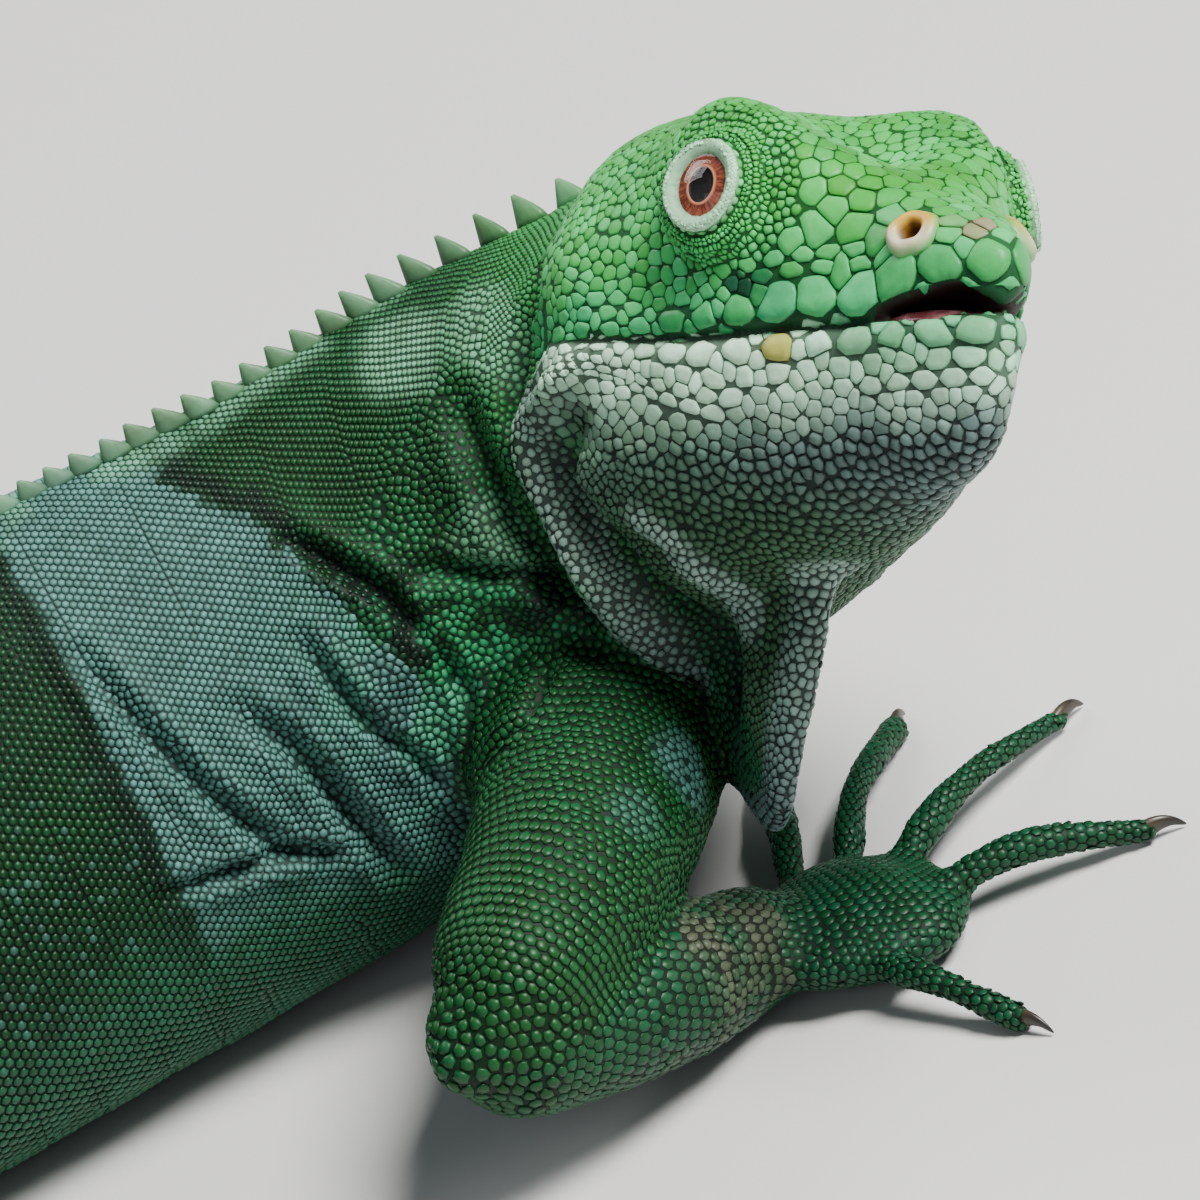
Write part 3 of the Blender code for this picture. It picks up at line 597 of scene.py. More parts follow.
@dataclass
class Stage:
    """Where the shoulder-based millimetres lie in the frame of the solids."""

    body: Body

    def __post_init__(self) -> None:
        """Reads the shift off the right eye's solid."""
        low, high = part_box("eye_right")
        centre = np.array((low + high) / 2) / MM
        shift = centre - self.body.head.eye_centre(-1)
        self.shift = np.array([shift[0], shift[1], 0.0])

    def metres(self, points: Array) -> Array:
        """Points of the forms as places in the frame, in metres."""
        return (np.asarray(points, float) + self.shift) * MM

    def add_mesh(self, name: str, vertices: Array, faces: list) -> bpy.types.Object:
        """One smooth mesh object at the origin from points in shoulder-based millimetres.

        Args:
            name: the piece's name.
            vertices: its points.
            faces: its faces as lists of corners.

        Returns:
            The new object, linked to the scene.
        """
        mesh = bpy.data.meshes.new(name)
        mesh.from_pydata(self.metres(vertices).tolist(), [], faces)
        mesh.polygons.foreach_set("use_smooth", np.full(len(mesh.polygons), True))
        mesh.update()
        made = bpy.data.objects.new(name, mesh)
        bpy.context.scene.collection.objects.link(made)
        return made


def triangles(piece: bpy.types.Object) -> int:
    """How many triangles a piece has."""
    return len(piece.data.loops) - 2 * len(piece.data.polygons)


def mesh_points(mesh: bpy.types.Mesh) -> Array:
    """The vertices of a mesh as an array."""
    points = np.empty(len(mesh.vertices) * 3)
    mesh.vertices.foreach_get("co", points)
    return points.reshape(-1, 3)


def mesh_edges(mesh: bpy.types.Mesh) -> Array:
    """The edges of a mesh as pairs of vertices."""
    edges = np.empty(len(mesh.edges) * 2, np.int64)
    mesh.edges.foreach_get("vertices", edges)
    return edges.reshape(-1, 2)


def mesh_normals(mesh: bpy.types.Mesh) -> Array:
    """The vertex normals of a mesh."""
    normals = np.empty(len(mesh.vertices) * 3)
    mesh.vertex_normals.foreach_get("vector", normals)
    return normals.reshape(-1, 3)


def smoothed(points: Array, edges: Array, weight: Array, rounds: int) -> Array:
    """Points drawn towards the mean of their neighbours.

    Args:
        points: the vertices.
        edges: pairs of neighbours.
        weight: for each vertex, 0 to stay and 1 to move all the way.
        rounds: how often this is done.

    Returns:
        The moved vertices.
    """
    count = np.bincount(edges.ravel(), minlength=len(points))[:, None]
    for _ in range(rounds):
        total = np.stack([np.bincount(edges[:, 0], points[edges[:, 1], k], len(points))
                          + np.bincount(edges[:, 1], points[edges[:, 0], k], len(points))
                          for k in range(3)], -1)
        points = points + (total / np.maximum(count, 1) - points) * weight[:, None]
    return points


def search_tree(points: Array) -> KDTree:
    """A tree that finds the points nearest to a place."""
    tree = KDTree(len(points))
    for k, place in enumerate(points.tolist()):
        tree.insert(place, k)
    tree.balance()
    return tree


def apply_modifier(piece: bpy.types.Object, kind: str, **settings) -> None:
    """Adds one modifier to a piece and applies it."""
    bpy.ops.object.select_all(action="DESELECT")
    piece.select_set(True)
    bpy.context.view_layer.objects.active = piece
    modifier = piece.modifiers.new(kind.lower(), kind)
    for key, value in settings.items():
        setattr(modifier, key, value)
    bpy.ops.object.modifier_apply(modifier=modifier.name)


# ------------------------------------------------------------------ skin
@dataclass
class Fold:
    """A furrow along a line over the skin with raised lips beside it; a negative depth makes a ridge."""

    line: list
    width: float
    depth: float
    lip: float = 0.0
    steps: int = 40

    def path(self) -> Array:
        """Close places along the line."""
        return catmull(np.array(self.line, float), np.linspace(0, len(self.line) - 1.0, self.steps))

    def push(self, points: Array) -> Array:
        """Outward push at each point; it fades towards the ends of the line."""
        line = self.path()
        low, high = line.min(0) - 4 * self.width, line.max(0) + 4 * self.width
        near = np.flatnonzero(((points > low) & (points < high)).all(1))
        push = np.zeros(len(points))
        if not len(near):
            return push
        gap = np.linalg.norm(points[near, None] - line[None], axis=2)
        k = gap.argmin(1)
        gap = gap[np.arange(len(near)), k]
        ends = np.sin(math.pi * np.clip(k / (self.steps - 1.0), 0.03, 0.97)) ** 0.45
        furrow = np.exp(-(gap / self.width) ** 2)
        lips = np.exp(-((gap / self.width - 1.9) / 0.8) ** 2)
        push[near] = (self.lip * lips - self.depth * furrow) * ends
        return push


# the neck's folds are those of the side the head is turned to; the jaws' are in the head's frame
LOOSE_FOLD = Fold([(3.5, -19.8, 37.2), (2.0, -17.9, 35.8), (0.9, -14.9, 32.9), (0.0, -14.7, 30.4),
                   (-0.5, -16.9, 28.1), (-0.6, -18.8, 24.5), (0.3, -19.8, 20.9), (2.2, -19.3, 16.9),
                   (3.0, -18.5, 13.0), (4.0, -16.4, 8.0)], 1.25, -1.5)
NECK_VALLEY = Fold([(1.2, -18.6, 33.5), (0.0, -16.9, 30.1), (-0.2, -18.9, 27.6), (0.6, -21.2, 25.4),
                    (2.6, -22.4, 21.2), (3.6, -23.6, 16.6), (3.7, -23.4, 12.4)], 1.2, 2.2)
DEWLAP_RIDGE = Fold([(0.6, -23.6, 29.6), (2.5, -25.1, 26.8), (4.1, -26.0, 23.8), (5.8, -24.6, 19.9),
                     (6.0, -22.6, 15.6), (5.6, -21.4, 12.0)], 0.9, -0.7)
NECK_FOLDS = [
    LOOSE_FOLD,
    NECK_VALLEY,
    DEWLAP_RIDGE,
    Fold([(-2.5, -9.4, 32.6), (-2.9, -11.7, 30.6), (-3.0, -13.6, 28.3), (-2.5, -15.5, 25.0),
          (-1.9, -17.2, 20.2)], 1.0, 1.6, 0.3),
    Fold([(-13.3, -8.0, 28.6), (-12.0, -9.5, 27.2), (-10.4, -11.3, 25.3), (-9.5, -12.8, 22.6)],
         0.6, 1.1, 0.3),
    Fold([(-7.9, -12.0, 25.5), (-5.0, -13.9, 24.8), (-2.3, -16.3, 23.3), (-1.0, -17.9, 21.7)],
         0.65, 1.2, 0.35),
    Fold([(-10.1, -18.0, 16.5), (-7.3, -19.0, 18.8), (-4.7, -17.1, 19.7)], 0.55, 0.8, 0.3),
    Fold([(-8.9, -13.2, 21.4), (-8.4, -13.8, 18.2), (-9.4, -15.2, 15.6)], 0.55, 0.8, 0.3),
]
FLANK_FOLDS = [
    Fold([(-26.1, -7.5, 27.7), (-25.2, -10.0, 24.5), (-23.5, -12.3, 20.0), (-21.5, -13.2, 16.1),
          (-20.1, -13.1, 14.3)], 0.65, 0.95, 0.35),
    Fold([(-19.8, -11.3, 22.5), (-17.9, -12.7, 19.2), (-16.6, -13.1, 14.7), (-15.0, -12.3, 9.8)],
         0.75, 1.1, 0.4),
    Fold([(-12.8, -13.2, 17.9), (-12.1, -13.3, 15.9), (-11.5, -13.2, 13.9)], 0.5, 0.6, 0.2),
    Fold([(-27.6, -13.4, 15.6), (-23.9, -13.3, 15.0), (-20.5, -13.1, 14.2), (-17.3, -12.9, 12.6)],
         0.55, 0.8, 0.3),
    Fold([(-15.3, -10.7, 24.4), (-14.5, -12.5, 20.9), (-13.0, -13.2, 16.7)], 0.6, 0.9, 0.3),
]
JAW_FOLDS = [
    Fold([(5.6, 10.8, 3.4), (2.4, 10.8, 2.0), (-0.4, 10.2, 0.6)], 0.5, 0.45, 0.2),
    Fold([(-1.6, 10.6, 6.0), (-2.6, 10.4, 2.0), (-2.6, 9.4, -3.0), (-2.8, 7.6, -8.0)], 0.8, 0.8, 0.3),
    Fold([(2.0, 8.8, -4.2), (5.4, 7.4, -6.8), (9.0, 5.4, -8.2)], 0.7, 0.35, 0.15),
]


@dataclass
class Clay:
    """The skin while it is shaped: its points can be smoothed and pushed along their normals."""

    piece: bpy.types.Object
    stage: Stage

    def __post_init__(self) -> None:
        """Takes the mesh's points and edges."""
        self.points = mesh_points(self.piece.data) / MM - self.stage.shift
        self.edges = mesh_edges(self.piece.data)

    def write(self) -> None:
        """Puts the points back in the mesh."""
        self.piece.data.vertices.foreach_set("co", self.stage.metres(self.points).ravel())
        self.piece.data.update()

    def normals(self) -> Array:
        """The normals of the shape as it is now."""
        self.write()
        return mesh_normals(self.piece.data)

    def push(self, amount: Array) -> None:
        """Moves each point out by its amount."""
        self.points = self.points + self.normals() * amount[:, None]

    def smooth(self, weight: Array, rounds: int) -> None:
        """Smooths the part of the skin where the weight is above zero."""
        inside = weight > 0.01
        edges = self.edges[inside[self.edges].any(1)]
        used = np.unique(edges)
        index = np.zeros(len(self.points), np.int64)
        index[used] = np.arange(len(used))
        self.points[used] = smoothed(self.points[used], index[edges], weight[used] * inside[used], rounds)

    def refine(self, centre: Array, reach: float) -> None:
        """Halves the faces within a distance of a point."""
        self.write()
        shape = bmesh.new()
        shape.from_mesh(self.piece.data)
        low = Vector(self.stage.metres(centre))
        near = [e for e in shape.edges if (e.verts[0].co - low).length < reach * MM
                and (e.verts[1].co - low).length < reach * MM]
        bmesh.ops.subdivide_edges(shape, edges=near, cuts=1, use_grid_fill=True)
        shape.to_mesh(self.piece.data)
        shape.free()
        self.__post_init__()


@dataclass
class Skin:
    """One skin over the whole animal, inside the solids by the depth of the scales."""

    body: Body
    stage: Stage
    depth: float = 0.22
    voxel: float = 0.32
    quick_voxel: float = 1.6
    refined: float = 6.5
    muzzle_at: tuple = (29.0, 0.0, 4.5)
    ear_at: tuple = (-0.6, 10.6, 7.2)
    joint_reach: tuple = (8.5, 5.0, 4.0)
    digit_reach: float = 2.6
    unevenness: float = 0.5

    def forms(self) -> list[Array]:
        """Closed rings of every form but the spine that makes up the skin."""
        body, grow = self.body, -self.depth
        made = [body.tail.rings(np.linspace(-0.004, 1.0, 420), 28, grow),
                body.dewlap.rings(np.linspace(0.0, 1.0, 60), 48, 0.0)]
        for limb in body.limbs:
            made += [limb.upper.closed_rings(40, 40, grow), limb.lower.closed_rings(40, 40, grow),
                     limb.foot.closed_rings(30, 36, grow)]
            made += [tube.closed_rings(30, 20, grow * 0.7) for tube in limb.digit_tubes()]
        return made

    def lid_dome(self, sign: int) -> Array:
        """The round form of the lids over one eye, as rings."""
        radius = self.body.head.eye_radius + self.body.head.lid_thickness - 0.1
        angle = np.linspace(0.02, math.pi - 0.02, 40)[:, None]
        around = round_angles(60)
        ring = np.stack([np.cos(angle) * np.ones(len(around)), np.sin(angle) * np.cos(around),
                         np.sin(angle) * np.sin(around)], -1)
        return ring * radius + self.body.head.eye_centre(sign)

    def torso(self) -> bpy.types.Object:
        """Trunk, neck and head in one, with the lips parted in front."""
        head, spine = self.body.head, self.body.spine
        rings = spine.rings(np.linspace(0.0, spine.snout_end, 320), 120, -self.depth)
        torso = self.stage.add_mesh("skin", *self.outward(*rings_to_mesh(rings)))
        along = np.linspace(head.mouth_open_from, head.mouth_shut_from + 0.1, 24)
        low = head.mouth_line(along) - 0.05
        high = low + head.parting(along) + 0.02
        corners = [head.world(np.stack([along, np.full(len(along), y), z], -1))
                   for y, z in ((-12, low), (12, low), (12, high), (-12, high))]
        cutter = self.stage.add_mesh("cutter", *self.outward(*rings_to_mesh(np.stack(corners, 1))))
        apply_modifier(torso, "BOOLEAN", object=cutter, operation="DIFFERENCE", solver="EXACT")
        bpy.data.objects.remove(cutter, do_unlink=True)
        return torso

    @staticmethod
    def outward(points: Array, faces: list) -> tuple[Array, list]:
        """The same closed mesh with its faces turned outwards."""
        centre = points.mean(0)
        corners = np.array([f[:3] for f in faces])
        a, b, c = (points[corners[:, k]] - centre for k in range(3))
        if (a * np.cross(b, c)).sum() < 0:
            faces = [f[::-1] for f in faces]
        return points, faces

    def build(self) -> bpy.types.Object:
        """Joins the forms, remeshes them as one skin and sculpts it."""
        torso = self.torso()
        pieces = [torso]
        for rings in self.forms() + [self.lid_dome(1), self.lid_dome(-1)]:
            pieces.append(self.stage.add_mesh("form", *self.outward(*rings_to_mesh(rings))))
        bpy.ops.object.select_all(action="DESELECT")
        for piece in pieces:
            piece.select_set(True)
        bpy.context.view_layer.objects.active = torso
        bpy.ops.object.join()
        heights = mesh_points(torso.data)
        heights[:, 2] = np.maximum(heights[:, 2], self.depth * 0.6 * MM)
        torso.data.vertices.foreach_set("co", heights.ravel())
        voxel = self.voxel * 1.0 * MM
        apply_modifier(torso, "REMESH", mode="VOXEL", voxel_size=voxel, use_smooth_shade=True)
        self.sculpt(torso)
        return torso

    def sculpt(self, skin: bpy.types.Object) -> None:
        """Softens the joins and shapes folds, lids, nostrils, mouth and ears."""
        clay = Clay(skin, self.stage)
        clay.smooth(np.full(len(clay.points), 0.5), 4)
        self.soften_joins(clay)
        self.wrinkle(clay)
        head = self.body.head
        for place in (head.eye_centre(1), head.eye_centre(-1), head.world(self.muzzle_at)):
            clay.refine(place, self.refined)
        self.shape_face(clay)
        for sign in (1, -1):
            self.shape_lids(clay, sign)
        clay.points[:, 2] = np.maximum(clay.points[:, 2], self.depth * 0.6)
        clay.write()

    def soften_joins(self, clay: Clay) -> None:
        """Rounds the corners where limbs, digits and tail leave the body."""
        weight = np.zeros(len(clay.points))
        for limb in self.body.limbs:
            places = (limb.upper.points[1], limb.upper.points[-1], limb.lower.points[-1])
            joints = list(zip(places, self.joint_reach))
            joints += [(digit[0], self.digit_reach) for digit in limb.digits]
            for place, reach in joints:
                weight = np.maximum(weight, 0.9 * bump(clay.points, place, reach))
        weight = np.maximum(weight, 0.9 * bump(clay.points, (self.body.spine.vent, 0, 8), 7.0))
        dewlap = self.body.dewlap.rings(np.linspace(0.05, 0.95, 8), 4, 0.0)[:, 1]
        for place in dewlap:
            weight = np.maximum(weight, 0.8 * bump(clay.points, tuple(place), 3.0))
        clay.smooth(np.where(weight > 0.08, weight, 0.0), 40)

    def wrinkle(self, clay: Clay) -> None:
        """Folds of neck, throat and flank, and the loose skin's slow unevenness."""
        push = sum(fold.push(clay.points) for fold in NECK_FOLDS + FLANK_FOLDS)
        local = folded(self.body.head.local(clay.points))
        push = push + sum(fold.push(local) for fold in JAW_FOLDS)
        push = push + self.unevenness * (layered_noise(clay.points / 5.0, 3) - 0.5)
        clay.push(push)
        mirrored_points = clay.points * (1, -1, 1)
        clay.push(sum(fold.push(mirrored_points) for fold in FLANK_FOLDS) * 0.7)

    def shape_face(self, clay: Clay) -> None:
        """Lips, nostrils and ears."""
        head = self.body.head
        local = folded(head.local(clay.points))
        x, side, z = local.T
        near = (x > -6) & (x < 36) & (z > -12) & (z < 20) & (side < 16)
        gap = z - head.mouth_line(x)
        reach = step(head.mouth_corner - 1.2, head.mouth_corner + 1.0, x) * step(25.5, 23.5, x)
        push = -0.55 * np.exp(-(gap / 0.30) ** 2) * reach
        lips = step(head.mouth_corner, head.mouth_corner + 4, x)
        push += 0.22 * np.exp(-((gap - 1.0) / 0.7) ** 2) * lips
        push += 0.18 * np.exp(-((gap + 1.1) / 0.8) ** 2) * lips
        away = local - np.array(head.nostril_at)
        aim = unit(np.array(head.nostril_aim))
        radius = np.linalg.norm(away - (away @ aim)[:, None] * aim, axis=1)
        inside = (np.linalg.norm(away, axis=1) < 3.2) & (away @ aim > -1.5)
        push -= np.where(inside, 0.25 * np.exp(-(radius / 1.4) ** 6), 0.0)
        push -= np.where(inside, 1.6 * np.exp(-(radius / 0.80) ** 4), 0.0)
        push -= 0.4 * bump(local, self.ear_at, 1.5)
        from_ear = np.linalg.norm(local - np.array(self.ear_at), axis=1)
        push += 0.25 * np.exp(-((from_ear - 2.2) / 0.6) ** 2)
        clay.push(np.where(near, push, 0.0))

    def shape_lids(self, clay: Clay, sign: int) -> None:
        """The opening between the lids, their thick rim and the furrows round it."""
        head = self.body.head
        centre = head.eye_centre(sign)
        away = clay.points - centre
        radius = np.linalg.norm(away, axis=1)
        near = np.flatnonzero(radius < 7.0)
        rel = unit(away[near]) @ head.eye_axes(sign).T
        oval = LidShape.oval(rel)
        wanted = np.interp(oval, *zip(*LidShape.profile)) * head.eye_radius
        share = np.where(rel[:, 0] > 0.1, 1.0 - step(*LidShape.blend, oval), 0.0)
        moved = radius[near] * (1 - share) + wanted * share
        clay.points[near] = centre + unit(away[near]) * moved[:, None]


class LidShape:
    """The lids' opening as seen from the front, and the height of their rim and furrows.

    The profile pairs a distance from the middle of the opening, 1 at its edge, with a height
    over the eyeball's centre in eyeball radii. Past the blend the head's own form takes over.
    """

    half_width = 0.58
    half_height = 0.63
    rim = 1.38
    profile = ((0.0, 0.46), (0.90, 0.46), (0.96, 0.97), (1.0, 1.02), (1.04, 1.08), (1.10, 1.135),
               (1.19, 1.155), (1.30, 1.12), (1.38, 1.05), (1.43, 1.04), (1.52, 1.12), (1.60, 1.15),
               (1.68, 1.12), (1.76, 1.17), (1.85, 1.18), (1.94, 1.15), (2.08, 1.20), (2.35, 1.23))
    blend = (1.95, 2.35)

    @classmethod
    def oval(cls, rel: Array) -> Array:
        """Distance from the middle of the opening, 1 at its edge, of directions as out, up, ahead."""
        reach = np.maximum(np.hypot(rel[:, 1], rel[:, 2]), 1e-9)
        angle = np.arctan2(reach, rel[:, 0])
        return angle / reach * np.hypot(rel[:, 2] / cls.half_width, rel[:, 1] / cls.half_height)


# ------------------------------------------------------------------ markings
@dataclass
class Patch:
    """A round or oval patch of colour with a soft, slightly ragged edge; sizes are in millimetres."""

    centre: tuple
    reach: tuple
    colour: tuple
    strength: float = 1.0


@dataclass
class Markings:
    """The animal's colours as functions of place; skin and scales both ask here."""

    body: Body
    grass: tuple = (0.0065, 0.064, 0.017)
    bright: tuple = (0.074, 0.440, 0.110)
    crown: tuple = (0.036, 0.270, 0.022)
    teal: tuple = (0.042, 0.330, 0.130)
    emerald: tuple = (0.0015, 0.024, 0.009)
    shoulder: tuple = (0.0045, 0.046, 0.010)
    outline: tuple = (0.0008, 0.010, 0.005)
    pale: tuple = (0.072, 0.180, 0.158)
    mint: tuple = (0.180, 0.430, 0.260)
    lip_mint: tuple = (0.540, 0.830, 0.590)
    lilac: tuple = (0.110, 0.160, 0.172)
    # the throat's lilac darkened: painted shade of the chin under light from above
    shaded_chin: tuple = (0.056, 0.088, 0.094)
    fold_white: tuple = (0.230, 0.340, 0.285)
    belly: tuple = (0.012, 0.080, 0.036)
    olive: tuple = (0.340, 0.330, 0.090)
    yellow: tuple = (0.620, 0.360, 0.070)
    cream: tuple = (0.620, 0.560, 0.380)
    scar: tuple = (0.330, 0.220, 0.150)
    ink: tuple = (0.004, 0.022, 0.020)
    stain: tuple = (0.085, 0.090, 0.060)
    lid: tuple = (0.360, 0.640, 0.400)
    gum: tuple = (0.060, 0.012, 0.010)
    moss: tuple = (0.0065, 0.058, 0.013)
    sea: tuple = (0.004, 0.048, 0.022)
    dusk: tuple = (0.012, 0.055, 0.040)
    bands: tuple = ((89.7, 97.6), (50.0, 60.0), (14.0, 23.0))
    band_rear: tuple = ((0, 30, 64, 124, 180), (-1.2, -1.3, -2.2, -3.5, -3.5))
    band_front: tuple = ((6, 30, 62, 90, 104, 180), (0.0, 4.7, 8.0, 9.0, 12.0, 16.0))
    tail_pitch: tuple = ((0, 100, 250, 385), (27.0, 25.0, 21.0, 16.0))
    eye_reach: float = 5.4
    bare_lids: float = 3.2

    def __post_init__(self) -> None:
        """Lays out the patches: on the body in world places, on the head in its own frame."""
        self.body_patches = [
            Patch((-3.6, -5.0, 34.2), (2.7, 2.9, 2.4), self.mint, 0.62),
            Patch((0.6, -8.4, 34.6), (2.2, 3.2, 3.4), self.mint, 0.55),
            Patch((-4.2, -13.8, 26.4), (2.2, 2.2, 2.6), self.mint, 0.34),
            Patch((-0.6, -24.0, 14.6), (2.4, 1.7, 2.6), self.pale, 0.75),
            Patch((-4.6, -27.6, 15.6), (2.2, 1.6, 1.9), self.pale, 0.30),
        ]
        self.face_patches = [
            Patch((17.6, -8.0, 5.4), (1.4, 1.5, 0.7), self.ink, 0.9),
            Patch((21.2, -5.2, 12.6), (0.7, 1.0, 0.9), self.ink, 0.8),
            Patch((24.9, -4.6, 8.4), (0.9, 1.0, 1.2), self.ink, 0.8),
            Patch((30.3, -1.3, 7.8), (1.2, 1.1, 0.8), self.scar, 0.9),
            Patch((27.0, 3.2, 7.3), (1.2, 1.3, 1.1), self.yellow, 0.45),
            Patch((27.0, -3.2, 7.3), (1.2, 1.3, 1.1), self.yellow, 0.45),
            Patch((12.0, -9.0, 12.4), (0.5, 0.8, 0.5), self.mint, 0.9),
            Patch((19.0, -7.4, 1.9), (1.15, 2.2, 1.05), self.olive, 1.0),
        ]

    @staticmethod
    def plain(colour: tuple, points: Array) -> Array:
        """The same colour for every point."""
        return np.tile(colour, (len(points), 1))

    @staticmethod
    def mix(colour: Array, other: tuple | Array, share: Array) -> Array:
        """Blends another colour in by a share for each point."""
        return colour + (np.array(other) - colour) * np.clip(share, 0.0, 1.0)[:, None]

    def patches(self, colour: Array, points: Array, patches: list, ragged: Array) -> Array:
        """Lays the patches over the colours."""
        for patch in patches:
            gap = np.linalg.norm((points - np.array(patch.centre)) / np.array(patch.reach), axis=1)
            share = step(1.30, 0.60, gap + (ragged - 0.5) * 0.7) * patch.strength
            colour = self.mix(colour, patch.colour, share)
        return colour

    def torso(self, points: Array, place: Array, angle: Array, ragged: Array) -> Array:
        """Colours of trunk and neck."""
        length = self.body.spine.length_at(place)
        low = np.abs((angle - 90 + 180) % 360 - 180)
        fine = lattice_noise(points / 0.8, 21)
        wobble = (ragged - 0.5) * 2.4 + (fine - 0.5) * 1.8
        colour = self.mix(self.plain(self.emerald, points), self.shoulder, 0.5 + 1.2 * (ragged - 0.5))
        speckle = step(0.70, 0.76, lattice_noise(points / 0.5, 77)) * step(50, 65, low)
        speckle = speckle * step(135, 115, low) * step(68, 74, length) * step(90, 87, length)
        colour = self.mix(colour, self.pale, speckle * 0.25)
        colour = self.mix(colour, self.shoulder, step(98, 104, length + wobble))
        colour = self.mix(colour, self.grass, step(99, 108, length) * step(0.42, 0.62, ragged) * 0.45)
        ribs = (np.interp(low, *self.band_rear), np.interp(low, *self.band_front))
        for start, end in self.bands:
            bend = 1.0 if start > 80 else 0.6
            rear, front = start + ribs[0] * bend, end + ribs[1] * bend
            inside = step(rear - 0.35, rear + 0.35, length + wobble * 0.3)
            inside = inside * step(front + 0.35, front - 0.35, length + wobble * 0.8)
            edge = np.exp(-((length + wobble * 0.8 - front - 1.2) / 1.0) ** 2) * 0.9
            edge = edge + np.exp(-((length + wobble * 0.3 - rear + 0.8) / 0.8) ** 2) * 0.7
            colour = self.mix(colour, self.outline, edge)
            colour = self.mix(colour, self.pale, inside * (0.93 + 0.25 * (fine - 0.5)))
        under = step(84, 116, low + (ragged - 0.5) * 24 - 30 * step(88, 101, length))
        colour = self.mix(colour, self.belly, under * 0.95)
        collar = step(112, 120, length + wobble + 5 * step(50, 10, low)) * step(170, 110, low)
        colour = self.mix(colour, self.grass, collar * 0.9)
        colour = self.mix(colour, self.bright, collar * step(118, 126, length) * 0.35)
        mottle = layered_noise(points / 2.4, 31)
        shoulder = bump(points, (-5.5, -15.0, 18.5), 8.0)
        colour = self.mix(colour, self.teal, shoulder * step(0.50, 0.60, mottle) * 0.7)
        colour = self.mix(colour, self.ink, shoulder * step(0.46, 0.38, mottle) * 0.8)
        crest = step(11, 4, low)
        return self.mix(colour, self.mint, crest * step(0.35, 0.6, lattice_noise(points / 2.5, 5)) * 0.5)

    def face(self, points: Array, ragged: Array) -> Array:
        """Colours of head, jaws and throat, with painted shade low on the throat."""
        local = self.body.head.local(points)
        x, z = local[:, 0], local[:, 2]
        lip = z - self.body.head.mouth_line(x)
        colour = self.mix(self.plain(self.bright, points), self.teal,
                          step(9.0, 3.0, z + (ragged - 0.5) * 6) * 0.75)
        colour = self.mix(colour, self.crown, step(7.5, 11, z) * step(16, 24, x) * 0.85)
        colour = self.mix(colour, self.crown, step(12, 15, z) * 0.5)
        colour = self.mix(colour, self.grass, step(3, -3, x) * 0.40)
        colour = self.mix(colour, self.grass, step(0.54, 0.66, layered_noise(points / 2.2, 51)) * 0.22)
        below = step(0.15, -0.05, lip) * np.maximum(step(-2.5, 3.5, x + 0.6 * lip), step(-4.0, -7.0, lip))
        pale = self.mix(self.plain(self.lip_mint, points), self.teal,
                        step(18, 26, x) * step(-5, 0, lip) * 0.85)
        colour = self.mix(colour, pale, below)
        deep = step(-1.0, -6.5, lip + (ragged - 0.5) * 3) * below
        throat = self.mix(self.plain(self.grass, points), self.lilac, 0.34 + step(12, 26, x) * 0.45)
        # painted shade: low and forward, the throat takes the darkened chin colour
        throat = self.mix(throat, self.shaded_chin, step(-2.5, -6, lip) * step(10, 20, x) * 0.9)
        # lower still towards the back it darkens to the shoulder's green: partly the throat's own green,
        # partly painted shade
        throat = self.mix(throat, self.shoulder, step(-6, -10, lip) * step(25, 15, x) * 0.95)
        colour = self.mix(colour, throat, deep * 0.94)
        oval = self.lid_oval(points)
        colour = self.mix(colour, self.lid, step(LidShape.rim + 0.05, LidShape.rim - 0.08, oval))
        colour = self.mix(colour, self.ink, step(0.99, 0.93, oval))
        return self.patches(colour, local, self.face_patches, ragged)

    def inside_mouth(self, local: Array) -> Array:
        """1 between the parted lips, 0 outside, for places in the head's frame."""
        head = self.body.head
        x, side, z = folded(local).T
        lip, parted = z - head.mouth_line(x), head.parting(x)
        within = (x > head.mouth_open_from) & (x < head.mouth_shut_from) & (side < 9) & (parted > 0.25)
        return within * step(-0.12, 0.02, lip) * step(parted + 0.12, parted - 0.02, lip)

    def lid_oval(self, points: Array) -> Array:
        """How far points lie from the middle of the nearer eye's opening, 1 at its edge."""
        found = np.full(len(points), FAR)
        for sign in (1, -1):
            away = points - self.body.head.eye_centre(sign)
            rel = unit(away) @ self.body.head.eye_axes(sign).T
            near = (rel[:, 0] > 0) & (np.linalg.norm(away, axis=1) < self.eye_reach)
            found = np.minimum(found, np.where(near, LidShape.oval(rel), FAR))
        return found

    @staticmethod
    def distance(points: Array, line: Array) -> Array:
        """Distance of each point from a line given by close places, FAR where it is far away."""
        found = np.full(len(points), FAR)
        near = np.flatnonzero(((points > line.min(0) - 6) & (points < line.max(0) + 6)).all(1))
        if len(near):
            found[near] = np.linalg.norm(points[near, None] - line[None], axis=2).min(1)
        return found

    def limb_share(self, points: Array) -> tuple[Array, Array]:
        """How much each point belongs to a limb, and how far out along the limb it lies."""
        share, out = np.zeros(len(points)), np.zeros(len(points))
        for limb in self.body.limbs:
            start = 0.0
            for tube, first in ((limb.upper, 1.2), (limb.lower, 0.0), (limb.foot, 0.0)):
                places = np.linspace(first, len(tube.points) - 1.0, 24)
                centre, _, _, radius = tube.frames(places)
                low, high = centre.min(0) - 9, centre.max(0) + 9
                near = np.flatnonzero(((points > low) & (points < high)).all(1))
                gap = np.linalg.norm(points[near, None] - centre[None], axis=2) - radius
                k = gap.argmin(1)
                gap = gap[np.arange(len(near)), k]
                here = step(1.6, 0.2, gap)
                more = here > share[near]
                out[near[more]] = start + k[more] / 24.0
                share[near] = np.maximum(share[near], here)
                start += 1.0
            for digit in limb.digits:
                tip = np.array(digit[1]) * 0.5 + np.array(digit[2]) * 0.5
                near = np.linalg.norm(points - tip, axis=1) < np.linalg.norm(tip - np.array(digit[0])) + 0.5
                share[near], out[near] = 1.0, 2.9
        return share, out

